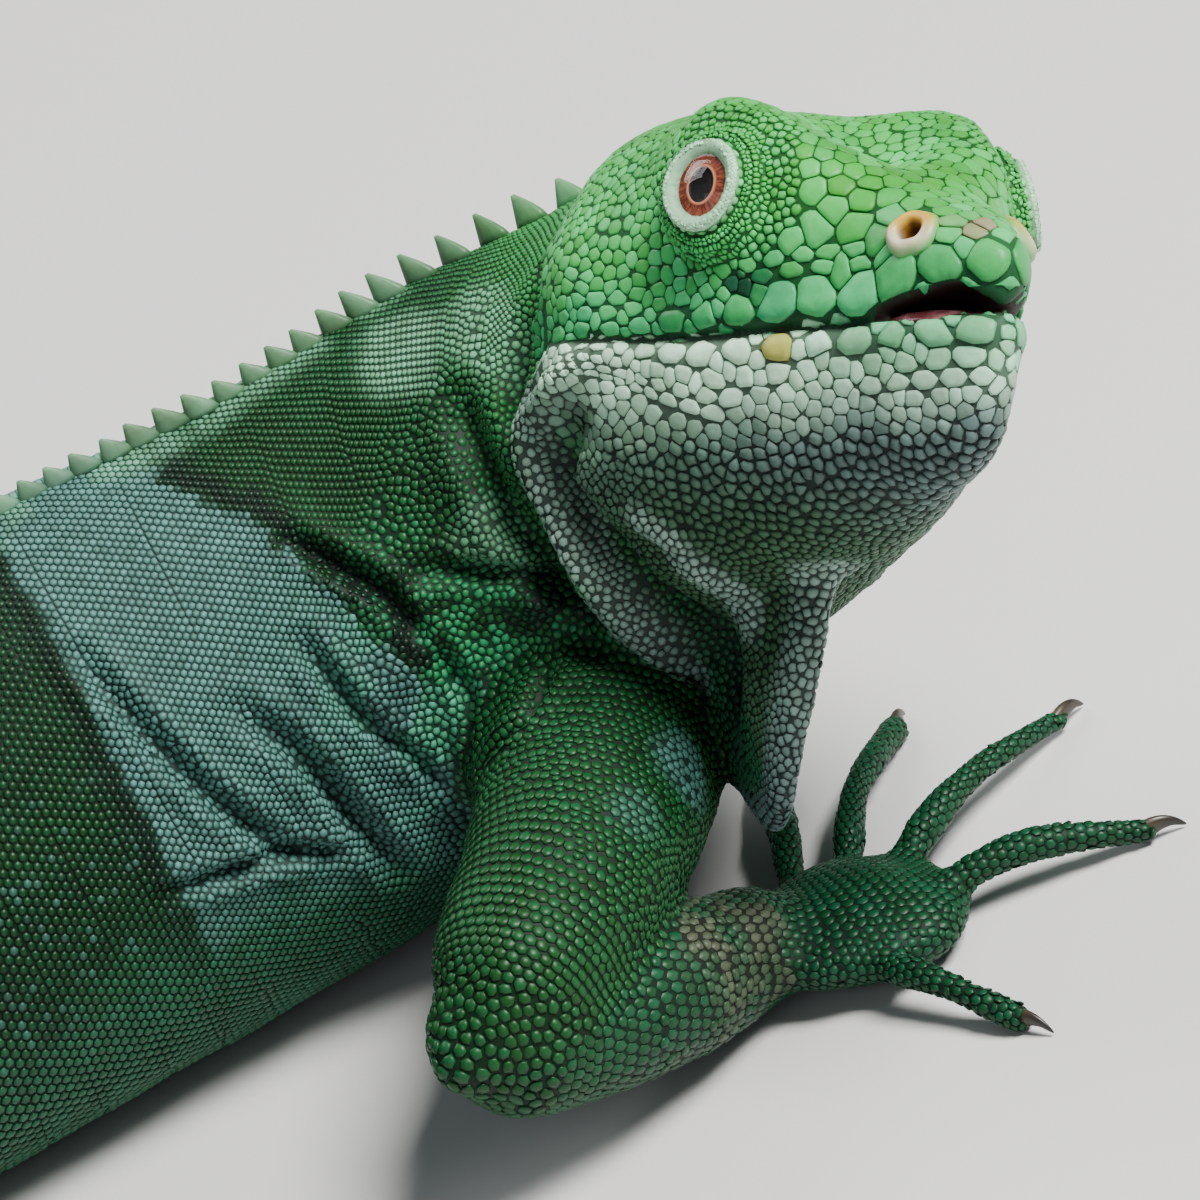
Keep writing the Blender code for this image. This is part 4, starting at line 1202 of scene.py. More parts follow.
    def limbs(self, points: Array, out: Array, ragged: Array) -> Array:
        """Colours of arms and legs."""
        mottle = layered_noise(points / 3.2, 41)
        colour = self.mix(self.plain(self.grass, points), self.shoulder, step(0.52, 0.68, mottle) * 0.5)
        colour = self.mix(colour, self.moss, step(0.0, 0.9, out) * step(1.2, 0.8, out) * 0.7)
        colour = self.mix(colour, self.sea, step(1.0, 1.9, out) * 0.7)
        right_arm = (points[:, 1] < 0) * (points[:, 0] > -40)
        wrist = np.exp(-((out - 1.78 + (ragged - 0.5) * 0.3) / 0.075) ** 2) * right_arm
        return self.mix(colour, self.stain, wrist * step(0.35, 0.55, mottle) * 0.85)

    def tail_colour(self, points: Array, ragged: Array) -> Array:
        """Colours of the tail, banded to its tip."""
        share, angle = self.body.tail.locate(points)
        length = share * self.body.tail.length + (ragged - 0.5) * 3.0
        wave = (length / np.interp(length, *self.tail_pitch)) % 1.0
        colour = self.plain(self.grass, points)
        colour = self.mix(colour, self.outline, step(0.30, 0.34, wave) * step(0.44, 0.40, wave) * 0.8)
        colour = self.mix(colour, self.outline, step(0.86, 0.90, wave) * 0.8)
        colour = self.mix(colour, self.pale, step(0.42, 0.46, wave) * step(0.88, 0.84, wave) * 0.75)
        colour = self.mix(colour, self.dusk, step(0.35, 0.9, share) * 0.6)
        return self.mix(colour, self.belly, step(-35, -65, angle) * 0.7)

    def neck_folds(self, colour: Array, points: Array, ragged: Array) -> Array:
        """Whitens the ridges of the loose folds and the dewlap's edge, and paints shade into the furrow
        behind them.
        """
        front = (points[:, 0] > -6) & (points[:, 1] < -6)
        ridge = step(2.3, 1.0, self.distance(points, LOOSE_FOLD.path()) + (ragged - 0.5) * 1.6)
        ridge = ridge * step(36.5, 33.5, points[:, 2])
        dewlap = self.body.dewlap
        edge = self.body.head.world(dewlap.line(dewlap.edge, np.linspace(0.05, 1.0, 40)))
        ridge = np.maximum(ridge, step(2.8, 1.4, self.distance(points, edge) + (ragged - 0.5) * 1.6) * 0.9)
        inner = self.distance(points, DEWLAP_RIDGE.path()) + (ragged - 0.5) * 1.4
        ridge = np.maximum(ridge, step(1.7, 0.8, inner))
        # lower down the ridges take a lilac mixed with the chin's painted shade, so they darken towards the
        # bottom
        low = (np.array(self.shaded_chin) + np.array(self.lilac)) / 2
        tint = self.mix(low, self.fold_white, step(12, 27, points[:, 2]))
        colour = self.mix(colour, tint, ridge * front * 0.88)
        # painted shade: the furrow behind the loose fold is darkened to emerald
        valley_shade = np.exp(-(self.distance(points, NECK_VALLEY.path()) / 1.45) ** 2)
        return self.mix(colour, self.emerald, valley_shade * front * 0.92)

    def paint(self, points: Array, bare: bool = False) -> Array:
        """Linear colours of points on the animal.

        Args:
            points: places in shoulder-based millimetres (n, 3).
            bare: whether they lie on the skin itself, which shows between the lips.

        Returns:
            Colours (n, 3).
        """
        place, angle = self.body.spine.locate(points)
        ragged = layered_noise(points / 3.0, 11)
        colour = self.torso(points, place, angle, ragged)
        ahead = step(8.6, 9.6, place + (ragged - 0.5) * 0.6) * (points[:, 0] > HEAD_ENDS)
        colour = colour * (1 - ahead[:, None]) + self.face(points, ragged) * ahead[:, None]
        colour = self.neck_folds(colour, points, ragged)
        rear = step(self.body.spine.vent + 1.5, self.body.spine.vent - 1.5, points[:, 0])
        tail = np.flatnonzero(rear > 0)
        colour[tail] = self.mix(colour[tail], self.tail_colour(points[tail], ragged[tail]), rear[tail])
        share, out = self.limb_share(points)
        colour = self.mix(colour, self.limbs(points, out, ragged), share)
        colour = self.patches(colour, points, self.body_patches, ragged)
        if bare:
            lids = step(LidShape.rim + 0.02, LidShape.rim - 0.08, self.lid_oval(points))
            colour = colour * (1.0 + self.bare_lids * lids[:, None])
            colour = self.mix(colour, self.gum, self.inside_mouth(self.body.head.local(points)))
        return colour


# ------------------------------------------------------------------ scales
class ScaleKind(Enum):
    """The kinds of scales."""

    GRANULE = 0
    BEAD = 1
    PLATE = 2
    SHINGLE = 3
    LID = 4
    TILE = 5


@dataclass(frozen=True)
class ScaleShape:
    """The mesh of one kind of scale.

    Its rings pair a share of its outline with a share of its height, and its height is a share of
    its mean half size. Its lean lifts the end it points to, its spread shrinks the outline, and it
    is cut to shape by a number of its neighbours.
    """

    sides: int
    rings: tuple
    height: float
    lean: float = 0.0
    spread: float = 0.94
    neighbours: int = 14


SCALE_SHAPES = {
    ScaleKind.GRANULE: ScaleShape(6, ((1.0, -0.35), (0.78, 0.72)), 0.40, 0.10, 0.97),
    ScaleKind.BEAD: ScaleShape(8, ((1.0, -0.30), (0.85, 0.50), (0.52, 0.93)), 0.44, 0.0, 0.95),
    ScaleKind.PLATE: ScaleShape(20, ((1.0, -0.30), (0.975, 0.45), (0.88, 0.86), (0.45, 1.0)), 0.16, 0.0,
                                0.98, 24),
    ScaleKind.SHINGLE: ScaleShape(6, ((1.0, -0.20), (0.84, 0.66)), 0.26, 0.26, 0.99),
    ScaleKind.LID: ScaleShape(8, ((1.0, -0.40), (0.97, 0.66), (0.6, 0.94)), 0.09, 0.0, 1.06),
    ScaleKind.TILE: ScaleShape(10, ((1.0, -0.30), (0.955, 0.55), (0.70, 0.95)), 0.19, 0.0, 0.98, 16),
}
BENT_KINDS = (ScaleKind.PLATE, ScaleKind.TILE)


@dataclass
class Seeds:
    """The roots of scales: place, outward normal, direction of the scales' lie and half sizes."""

    point: Array
    normal: Array
    along: Array
    size: Array
    kind: Array
    group: Array
    unwrap: Array
    fixed: Array

    @staticmethod
    def joined(parts: list) -> "Seeds":
        """All the seeds of a list as one."""
        return Seeds(*(np.concatenate(values) for values in zip(*(vars(part).values() for part in parts))))

    def chosen(self, which: Array) -> "Seeds":
        """The seeds at some indices or where a mask is true."""
        return Seeds(*(values[which] for values in vars(self).values()))

    def __len__(self) -> int:
        """How many seeds there are."""
        return len(self.point)


GROUPS = ("coat_head", "coat_throat", "coat_neck", "coat_shoulders", "coat_trunk_front", "coat_trunk_middle",
          "coat_trunk_rear", "coat_tail_base", "coat_tail_whip", "coat_arm_right", "coat_arm_left",
          "coat_leg_right", "coat_leg_left")
HEAD, THROAT, LAST_OF_TRUNK, TAIL_BASE, TAIL_WHIP = 0, 1, 6, 7, 8


@dataclass
class Coat:
    """The scales over the whole skin, made as solid mesh in a few pieces.

    A pitch is the distance between scales in millimetres: from the vent to the head at places
    along the spine, and from the start to the end of a limb's upper and lower part.
    """

    body: Body
    stage: Stage
    markings: Markings
    skin: bpy.types.Object
    trunk_pitch: tuple = ((0.0, 2.5, 3.6, 4.4, 5.2, 9.3), (1.00, 0.92, 0.72, 0.58, 0.48, 0.43))
    trunk_parts: tuple = (2.0, 3.5, 4.9, 6.3)
    rows_end: float = 9.25
    tail_pitch: float = 1.32
    tail_parted: float = 0.3
    upper_pitch: tuple = (0.52, 0.80)
    lower_pitch: tuple = (0.80, 0.60)
    foot_pitch: float = 0.60
    digit_pitch: float = 0.55
    leg_growth: float = 1.6
    patch_size: float = 0.003
    lid_rings: tuple = ((1.06, 0.115), (1.165, 0.12), (1.275, 0.125), (1.45, 0.15), (1.60, 0.17),
                        (1.76, 0.185), (1.94, 0.20), (2.13, 0.21))
    cell: float = 1.7
    packed: float = 0.80
    crowded: float = 0.62
    bare_from: float = 0.70
    lid_margin: float = 1.36
    nostril_margin: float = 1.95
    nostril_swell: tuple = (0.2, 0.5, 0.3)
    spread_rounds: tuple = (9, 2)

    def __post_init__(self) -> None:
        """Makes the search tree of the skin."""
        self.tree = BVHTree.FromObject(self.skin, bpy.context.evaluated_depsgraph_get())
        self.random = np.random.default_rng(7)

    def onto_skin(self, points: Array) -> tuple[Array, Array, Array]:
        """Nearest places on the skin, with normals and distances."""
        found = np.empty((len(points), 7))
        for k, place in enumerate(self.stage.metres(points).tolist()):
            hit, normal, _, gap = self.tree.find_nearest(place)
            found[k] = (*hit, *normal, gap)
        return found[:, :3] / MM - self.stage.shift, found[:, 3:6], found[:, 6] / MM

    def seeds(self, points: Array, along: Array, size: Array, kind: ScaleKind | Array, group: Array,
              unwrap: Array, reach: float = 1.0, fixed: bool = False) -> Seeds:
        """Seeds set on the skin; those that lie inside another form are dropped.

        Args:
            points: wanted places (n, 3).
            along: directions the scales point in (n, 3).
            size: half length and half width (n, 2).
            kind: the scales' shape, or the kinds' numbers (n,).
            group: index of the coat piece for each (n,).
            unwrap: place on the flattened form, both 0 to 1 (n, 2).
            reach: how far a place may be from the skin.
            fixed: whether the seeds keep their places when the rest is evened out.

        Returns:
            The seeds.
        """
        place, normal, gap = self.onto_skin(points)
        keep = gap < reach
        kinds = np.full(len(points), kind.value) if isinstance(kind, ScaleKind) else kind
        made = Seeds(place, normal, along, size, kinds, group, unwrap, np.full(len(points), fixed))
        return made.chosen(keep)

    def ring_of_seeds(self, ring: Array, density: Array, count: int, offset: float) -> tuple[Array, Array]:
        """Places round a closed ring of points, closer where the density is higher.

        Returns:
            The places and their shares of the way round.
        """
        closed = np.vstack([ring, ring[:1]])
        walk = np.linalg.norm(np.diff(closed, axis=0), axis=1) * density
        total = np.concatenate([[0.0], np.cumsum(walk)])
        wanted = (np.arange(count) + offset) / count % 1.0 * total[-1]
        shares = np.interp(wanted, total, np.arange(len(closed)))
        return along_line(wanted, total, closed), shares / len(ring)

    def lattice(self, ring_at: Callable, stations: Array, pitch: Callable, grow_down: float,
                kind: ScaleKind, group: Callable, unwrap_start: float = 0.0, unwrap_end: float = 1.0,
                quantum: int = 4) -> Seeds:
        """Rows of scales round a long form, each row set between the scales of the one before.

        Args:
            ring_at: gives rings of points for an array of stations.
            stations: places along the form, one row of scales at each.
            pitch: distance between scales across the row, from the station.
            grow_down: how much wider scales are at the bottom of the ring than at its top.
            kind: the scales' shape.
            group: coat piece for each station.
            unwrap_start: where the form starts on the coat's flat map.
            unwrap_end: where it ends there.
            quantum: the count of a row changes in steps of this.

        Returns:
            The seeds.
        """
        rings = ring_at(stations)
        further = np.minimum(stations + 0.02 * (stations[-1] - stations[0]), stations[-1] + 0.01)
        ahead = ring_at(further)
        points, along, size, groups, unwrap = [], [], [], [], []
        for k, station in enumerate(stations):
            ring = rings[k]
            height = (ring[:, 2] - ring[:, 2].min()) / max(np.ptp(ring[:, 2]), 1e-6)
            scale = 1.0 + grow_down * (1.0 - step(0.0, 0.6, height))
            density = 1.0 / (pitch(station) * scale)
            turned = len(ring) * 3 // 4
            density, ring = np.roll(density, -turned), np.roll(ring, -turned, axis=0)
            length = (np.linalg.norm(np.diff(np.vstack([ring, ring[:1]]), axis=0), axis=1) * density).sum()
            count = max(quantum * round(length / quantum), 6)
            placed, shares = self.ring_of_seeds(ring, density, count, 0.5 * (k % 2))
            forward = unit(np.roll(ahead[k], -turned, axis=0) - ring)
            index = np.minimum((shares * len(ring)).astype(int), len(ring) - 1)
            points.append(placed)
            along.append(forward[index])
            half = 0.5 / density[index]
            size.append(np.stack([half, half], -1))
            groups.append(np.full(count, group(station)))
            where = unwrap_start + (unwrap_end - unwrap_start) * k / max(len(stations) - 1, 1)
            unwrap.append(np.stack([shares, np.full(count, where)], -1))
        points, along, size, groups, unwrap = map(np.concatenate, (points, along, size, groups, unwrap))
        return self.seeds(points, along, size, kind, groups, unwrap)

    def trunk_rows(self) -> Seeds:
        """Rows over trunk and neck, from the vent to the back of the head."""
        spine = self.body.spine
        lengths, end = [0.4], float(spine.length_at(np.array([9.3]))[0])
        while lengths[-1] < end:
            place = float(spine.place_at(np.array(lengths[-1])))
            lengths.append(lengths[-1] + self.torso_pitch(place) * 0.84)
        places = spine.place_at(np.array(lengths))

        def group(place: float) -> int:
            """Trunk in four pieces, then the neck."""
            return LAST_OF_TRUNK - int(np.searchsorted(self.trunk_parts, place))

        made = self.lattice(lambda p: spine.rings(p, 240, -0.2), places, self.torso_pitch, 0.45,
                            ScaleKind.GRANULE, group, quantum=6)
        made.along = -made.along
        return made

    def torso_pitch(self, place: Array) -> Array:
        """Distance between scales at a place along the spine."""
        return np.interp(place, *self.trunk_pitch)

    def tail_rows(self) -> Seeds:
        """Whorls of the tail; they grow finer towards its tip."""
        tail = self.body.tail
        shares, here = [], 0.0
        while here < 0.997:
            shares.append(here)
            here += self.tail_spacing(here) * 0.9 / tail.length
        return self.lattice(lambda q: tail.rings(q, 96, -0.2), np.array(shares), self.tail_spacing, 0.1,
                            ScaleKind.GRANULE,
                            lambda q: TAIL_BASE if q < self.tail_parted else TAIL_WHIP, quantum=2)

    def tail_spacing(self, share: float) -> float:
        """Distance between scales at a share of the tail's length."""
        return self.tail_pitch * (0.42 + 0.58 * float(self.body.tail.taper(np.array(share))) ** 0.35)

    def limb_rows(self, limb: Limb) -> Seeds:
        """Rows down a limb, its foot and its digits; each starts past the joint it hangs on."""
        group = GROUPS.index(f"coat_{limb.name}")
        parts = []
        foot, digit = (self.foot_pitch,) * 2, (self.digit_pitch,) * 2
        tubes = [(limb.upper, self.upper_pitch, 1.1), (limb.lower, self.lower_pitch, 0.7),
                 (limb.foot, foot, 0.3)]
        tubes += [(tube, digit, 0.2) for tube in limb.digit_tubes()]
        growth = self.leg_growth if limb.name.startswith("leg") else 1.0
        for number, (tube, pitch, first) in enumerate(tubes):
            pitch = (pitch[0] * growth, pitch[1] * growth)
            last = len(tube.points) - 1.0
            count = max(int(tube.length() * (last - first) / last / (sum(pitch) / 2 * 0.86)), 3)
            stations = first + (last - first) * np.linspace(0.0, 1.0, count) ** (pitch[0] / pitch[1]) ** -0.6

            def width(place: float, ends: tuple = (first, last), pitch: tuple = pitch) -> float:
                """Distance between scales at a place along the limb."""
                return float(np.interp(place, ends, pitch))

            parts.append(self.lattice(lambda q, t=tube: t.rings(q, 72, -0.15), stations, width, 0.0,
                                      ScaleKind.SHINGLE, lambda q: group,
                                      number / len(tubes), (number + 0.92) / len(tubes), 2))
        return Seeds.joined(parts)

    def lip_curve(self, level: Callable, sign: int, upper: bool) -> Array:
        """Points on the skin along a line beside the lips, from the middle of the snout backwards.

        Args:
            level: height over the closed mouth, from the place along the head.
            sign: 1 for the left side, -1 for the right.
            upper: whether the line lies on the upper lip, which is lifted in front.

        Returns:
            Points about 0.2 mm apart.
        """
        head = self.body.head
        made = []
        far, snout, aim_range = 20, 3.0, 27.0
        for turn in np.linspace(0.0, 1.0, 170):
            aim_x = 29.0 - aim_range * turn
            angle = math.radians(90.0 * step(0.0, 0.35, turn))
            front = aim_x + snout * math.cos(angle)
            height = float(head.mouth_line(np.array(front)) + level(front))
            if upper:
                height += float(head.parting(np.array(min(front, 30.5)))) * 0.8
            x, y = aim_x + far * math.cos(angle), sign * far * math.sin(angle)
            start = head.world(np.array([x, y, height]))
            end = head.world(np.array([aim_x, 0.0, height]))
            hit = self.tree.ray_cast(Vector(self.stage.metres(start)), Vector(end - start))[0]
            if hit is not None:
                made.append(np.array(hit) / MM - self.stage.shift)
        return np.array(made)

    def lip_row(self, level: Callable, upper: bool, sizes: Callable, start: float = 0.0) -> Seeds:
        """One row of plates beside the lips on both sides of the head.

        Args:
            level: height of the row's middle over the closed mouth, from the place along the head.
            upper: whether it lies on the upper jaw.
            sizes: half length and half width of a plate, from its distance behind the snout.
            start: distance behind the snout's middle at which the row starts.

        Returns:
            The seeds.
        """
        points, along, size = [], [], []
        for sign in (1, -1):
            curve = self.lip_curve(level, sign, upper)
            walk = np.concatenate([[0.0], np.cumsum(np.linalg.norm(np.diff(curve, axis=0), axis=1))])
            here = start
            while here < walk[-1]:
                half = np.array(sizes(here)) * (1.0 + 0.16 * (self.random.random() - 0.5), 1.0)
                middle = here + half[0]
                place, behind = along_line(np.array([middle, middle + 0.6]), walk, curve)
                points.append(place)
                along.append(behind - place)
                size.append(half)
                here += 2 * half[0]
        points = np.array(points)
        group = np.full(len(points), HEAD if upper else THROAT)
        return self.seeds(points, unit(np.array(along)), np.array(size), ScaleKind.PLATE, group,
                          np.zeros((len(points), 2)), 2.0, True)

    def face_rows(self) -> list[Seeds]:
        """Labials, the rows beside them and the rings round the eyes."""

        def labial(x: float) -> float:
            """Half height of the upper labials, lowest at the corner of the mouth."""
            return min(max(1.28 - 0.072 * (20.0 - x), 0.44), 1.28)

        def taper(x: float) -> float:
            """How much smaller the lower rows are towards the corner of the mouth."""
            return min(max((x - 1.0) / 14.0, 0.40), 1.0)

        def along_head(walked: float) -> float:
            """Place along the head at a distance walked back from the snout beside the lips."""
            return 31.5 - 0.95 * walked

        def over(rows: float, gap: float, long: float, shrink: float, start: float) -> Seeds:
            """One low row over the upper labials, at some of their half heights and a gap."""
            return self.lip_row(lambda x: rows * labial(x) + gap, True,
                                lambda s: (long - shrink * s, 0.40), start)

        def lower(level: float, long: float, wide: float, start: float) -> Seeds:
            """One row under the mouth, at a level below it in front."""
            return self.lip_row(lambda x: level * taper(x), False,
                                lambda s: (long * taper(along_head(s)) ** 0.7,
                                           wide * taper(along_head(s))), start)

        labials = self.lip_row(lambda x: labial(x) + 0.10, True,
                               lambda s: (1.40 - 0.010 * s, labial(along_head(s))))
        return [labials, over(2, 0.48, 1.15, 0.010, 3.4), over(2, 1.24, 0.95, 0.008, 8.0),
                lower(-0.86, 1.28, 0.80, 0.2), lower(-2.22, 1.05, 0.55, 0.7),
                lower(-3.24, 0.95, 0.48, 0.1), lower(-4.14, 0.86, 0.43, 0.6), self.lid_rows()]

    def lid_rows(self) -> Seeds:
        """Rings of fine scales on the lids and in the furrows round them."""
        head = self.body.head
        points, along, size, kinds = [], [], [], []
        for sign in (1, -1):
            out, up, ahead = head.eye_axes(sign)
            for number, (ring, half) in enumerate(self.lid_rings):
                width, height = LidShape.half_width * ring, LidShape.half_height * ring
                around = math.pi * (width + height) * head.eye_radius * 1.15
                count = round(around / (2 * half))
                loose = 0.0 if ring < LidShape.rim else 0.7
                for k in range(count):
                    angle = math.tau * (k + 0.5 * (number % 2) + loose * (self.random.random() - 0.5)) / count
                    swell = 1.0 + 0.06 * loose * (self.random.random() - 0.5)
                    a, b = width * swell * math.cos(angle), height * swell * math.sin(angle)
                    reach = math.hypot(a, b)
                    aim = out * math.cos(reach) + (ahead * a + up * b) / reach * math.sin(reach)
                    points.append(head.eye_centre(sign) + aim * head.eye_radius * 1.22)
                    along.append(-ahead * math.sin(angle) * width + up * math.cos(angle) * height)
                    size.append((half * 1.15, half))
                    kinds.append(ScaleKind.LID.value if ring < LidShape.rim else ScaleKind.BEAD.value)
        points = np.array(points)
        return self.seeds(points, unit(np.array(along)), np.array(size), np.array(kinds),
                          np.full(len(points), HEAD), np.zeros((len(points), 2)), 1.2, True)

    def wanted_size(self, points: Array) -> tuple[Array, Array, Array]:
        """How large the scales that fill the bare skin are.

        Returns:
            Half their width, how much longer than wide they are, and whether they lie on the head.
        """
        head = self.body.head
        place, _ = self.body.spine.locate(points)
        local = folded(head.local(points))
        x, z = local[:, 0], local[:, 2]
        lip = z - head.mouth_line(x)
        size, stretch = 0.5 * self.torso_pitch(place), np.ones(len(points))
        face = (place > self.body.spine.head_start) & (points[:, 0] > HEAD_ENDS)
        top = 0.33 + 0.10 * step(9, 14, x) + 0.40 * bump(local, (23.0, 5.5, 7.0), 5.0)
        top = top + 0.10 * step(24, 29, x) + 0.06 * bump(local, (9.0, 9.0, 5.0), 5.0)
        size = np.where(face & (lip > 0), top, size)
        stretch = np.where(face & (lip > 0), 1.0 + 0.4 * step(10, 7, z), stretch)
        jaw = 0.46 - 0.11 * step(-3, -7, lip) - 0.09 * step(-7, -12, lip)
        size = np.where(face & (lip <= 0), jaw * (0.66 + 0.34 * step(2.0, 14.0, x)), size)
        stretch = np.where(face & (lip <= 0), 1.6 - 0.42 * step(-3, -8, lip), stretch)
        oval = self.markings.lid_oval(points)
        size = np.where(oval < 3.1, 0.25 + 0.07 * step(2.0, 3.0, oval), size)
        share, out = self.markings.limb_share(points)
        limb = np.where(out > 2.5, 0.28, np.where(out > 1.95, 0.30, 0.26 + 0.13 * step(0.0, 0.9, out)))
        limb = limb * np.where(points[:, 0] < -60, self.leg_growth, 1.0)
        size = size * (1 - share) + limb * share
        tail = points[:, 0] < self.body.spine.vent
        return np.where(tail & (share < 0.5), 0.50, size), stretch, face

    def scattered(self, points: Array, size: Array, along: Array, stretch: Array, candidates: Array) -> Array:
        """Chooses places by dart throwing so that no two are closer than their sizes allow.

        Args:
            points: all places (n, 3).
            size: half width wanted at each place.
            along: direction in which scales are longer.
            stretch: how much longer they are.
            candidates: indices of the places that may be chosen, in the order of the throws.

        Returns:
            The chosen indices.
        """
        keys = np.floor(points / self.cell).astype(int).tolist()
        around = [(a, b, c) for a in (-1, 0, 1) for b in (-1, 0, 1) for c in (-1, 0, 1)]
        places, sizes, ways = points.tolist(), size.tolist(), along.tolist()
        less = (1.0 - 1.0 / stretch ** 2).tolist()
        cells: dict = {}
        kept = []
        for k in candidates.tolist():
            i, j, l = keys[k]
            x, y, z = places[k]
            u, v, w = ways[k]
            mine, flat, clear = sizes[k], less[k], True
            for a, b, c in around:
                for other_x, other_y, other_z, other_size in cells.get((i + a, j + b, l + c), ()):
                    p, q, r = x - other_x, y - other_y, z - other_z
                    limit = self.packed * (mine + other_size)
                    if p * p + q * q + r * r - flat * (p * u + q * v + r * w) ** 2 < limit * limit:
                        clear = False
                        break
                if not clear:
                    break
            if clear:
                cells.setdefault((i, j, l), []).append((x, y, z, mine))
                kept.append(k)
        return np.array(kept)

    def fill(self, seeds: Seeds) -> Seeds:
        """Seeds for all the skin that the rows leave bare."""
        mesh = self.skin.data
        points = mesh_points(mesh) / MM - self.stage.shift
        normals = mesh_normals(mesh)
        tree = search_tree(seeds.point)
        size, stretch, face = self.wanted_size(points)
        near = np.array([tree.find(place)[1:] for place in points.tolist()])
        owner = near[:, 0].astype(int)
        local = self.body.head.local(points)
        lip = local[:, 2] - self.body.head.mouth_line(local[:, 0])
        along = seeds.along[owner].copy()
        along[face] = -self.body.head.turn[:, 0]
        bare = near[:, 1] > self.bare_from * (size + seeds.size[owner].min(1))
        bare &= self.markings.lid_oval(points) > self.lid_margin
        bare &= (self.markings.inside_mouth(local) < 0.3) & (self.nostril_gap(local) > self.nostril_margin)
        parted = self.body.head.lifted(local[:, 0])
        bare &= ~((parted > 0.1) & (lip > -0.12) & (lip < parted + 0.40))
        kept = self.scattered(points, size, along, stretch, self.random.permutation(np.flatnonzero(bare)))
        group = seeds.group[owner[kept]].copy()
        face, lip = face[kept], lip[kept]
        group[face] = np.where(lip[face] > 0, HEAD, THROAT)
        kind = np.full(len(kept), ScaleKind.BEAD.value)
        kind[(~face) & (size[kept] < 0.4)] = ScaleKind.GRANULE.value
        kind[face & (lip > 0) & (size[kept] > 0.32)] = ScaleKind.TILE.value
        kind[face & (lip > 0) & (size[kept] > 0.5)] = ScaleKind.PLATE.value
        kind[face & (lip < 0) & (lip > -5.5)] = ScaleKind.TILE.value
        LOG.info("filled %d scales", len(kept))
        both = np.stack([size[kept] * stretch[kept], size[kept]], -1)
        return Seeds(points[kept], normals[kept], along[kept], both, kind, group, seeds.unwrap[owner[kept]],
                     np.zeros(len(kept), bool))

    def nostril_gap(self, local: Array) -> Array:
        """Distance from the swollen middle of the nearer nostril."""
        away = folded(local) - np.array(self.body.head.nostril_at) - np.array(self.nostril_swell)
        return np.linalg.norm(away, axis=1)

    def evened(self, seeds: Seeds, rounds: int) -> Seeds:
        """Spreads the seeds that aren't fixed until their distances match their sizes."""
        for _ in range(rounds):
            index = self.neighbours(seeds, 8)
            away = seeds.point[index] - seeds.point[:, None]
            gap = np.maximum(np.linalg.norm(away, axis=2), 1e-6)
            side = np.cross(seeds.normal, seeds.along)
            bearing = np.arctan2((away * side[:, None]).sum(2), (away * seeds.along[:, None]).sum(2))
            wanted = (self.oval_radius(seeds.size[:, None], bearing)
                      + self.oval_radius(seeds.size[index], bearing))
            same = (seeds.normal[:, None] * seeds.normal[index]).sum(2) > 0.2
            press = np.where(same & (gap < wanted), (wanted - gap) / gap, 0.0)
            move = (-away * press[..., None]).sum(1) * 0.30
            reach = 0.35 * seeds.size[:, 1] / np.maximum(np.linalg.norm(move, axis=1), 1e-9)
            move *= np.minimum(1.0, reach)[:, None]
            moving = ~seeds.fixed & (np.linalg.norm(move, axis=1) > 0.03 * seeds.size[:, 1])
            place, normal, _ = self.onto_skin(seeds.point[moving] + move[moving])
            seeds.point[moving], seeds.normal[moving] = place, normal
        return seeds

    def neighbours(self, seeds: Seeds, count: int) -> Array:
        """Indices of the nearest other seeds of each seed."""
        tree = search_tree(seeds.point)
        return np.array([[hit[1] for hit in tree.find_n(place, count + 1)][1:]
                         for place in seeds.point.tolist()])

    def without_crowding(self, seeds: Seeds) -> Seeds:
        """Drops seeds that stand too close to a fixed or an earlier one."""
        index = self.neighbours(seeds, 8)
        gap = np.linalg.norm(seeds.point[:, None] - seeds.point[index], axis=2)
        mean = seeds.size.mean(1)
        close = gap < self.crowded * (mean[:, None] + mean[index])
        rank = np.where(seeds.fixed, 10.0, 1.0) * 1e6 - np.arange(len(seeds))
        beaten = (close & (rank[index] > rank[:, None])).any(1) & ~seeds.fixed
        return seeds.chosen(~beaten)

    def outlines(self, seeds: Seeds, which: Array, shape: ScaleShape,
                 index: Array) -> tuple[Array, Array, Array]:
        """Distance from each root to its scale's edge in each direction.

        Args:
            seeds: all the seeds.
            which: indices of those to outline.
            shape: their shape, for the number of directions.
            index: neighbours of each of them.

        Returns:
            Radii (n, sides), and the unit directions along and across each scale.
        """
        normal = seeds.normal[which]
        along = seeds.along[which]
        along = unit(along - (along * normal).sum(1)[:, None] * normal)
        across = np.cross(normal, along)
        away = seeds.point[index] - seeds.point[which][:, None]
        same = (normal[:, None] * seeds.normal[index]).sum(2) > 0.1
        u, v = (away * along[:, None]).sum(2), (away * across[:, None]).sum(2)
        gap = np.linalg.norm(away, axis=2)
        bearing = np.arctan2(v, u)
        size = seeds.size[which]
        mine = self.oval_radius(size[:, None], bearing)
        their_along = seeds.along[index]
        their_normal = seeds.normal[index]
        their_along = unit(their_along - (their_along * their_normal).sum(2)[..., None] * their_normal)
        back_u = -(away * their_along).sum(2)
        back_v = -(away * np.cross(their_normal, their_along)).sum(2)
        theirs = self.oval_radius(seeds.size[index], np.arctan2(back_v, back_u))
        half = gap * mine / (mine + theirs)
        angle = round_angles(shape.sides)
        facing = np.cos(angle[None, None] - bearing[..., None])
        limit = np.where((facing > 0.05) & same[..., None], half[..., None] / np.maximum(facing, 0.05), FAR)
        own = self.oval_radius(size[:, None], angle[None]) * 1.42
        plates = (seeds.fixed & (seeds.kind == ScaleKind.PLATE.value))[which]
        long, wide = np.abs(np.cos(angle) / size[:, :1]), np.abs(np.sin(angle) / size[:, 1:])
        squared = (long ** 5 + wide ** 5) ** -0.2
        own = np.where(plates[:, None], squared * 1.06, own)
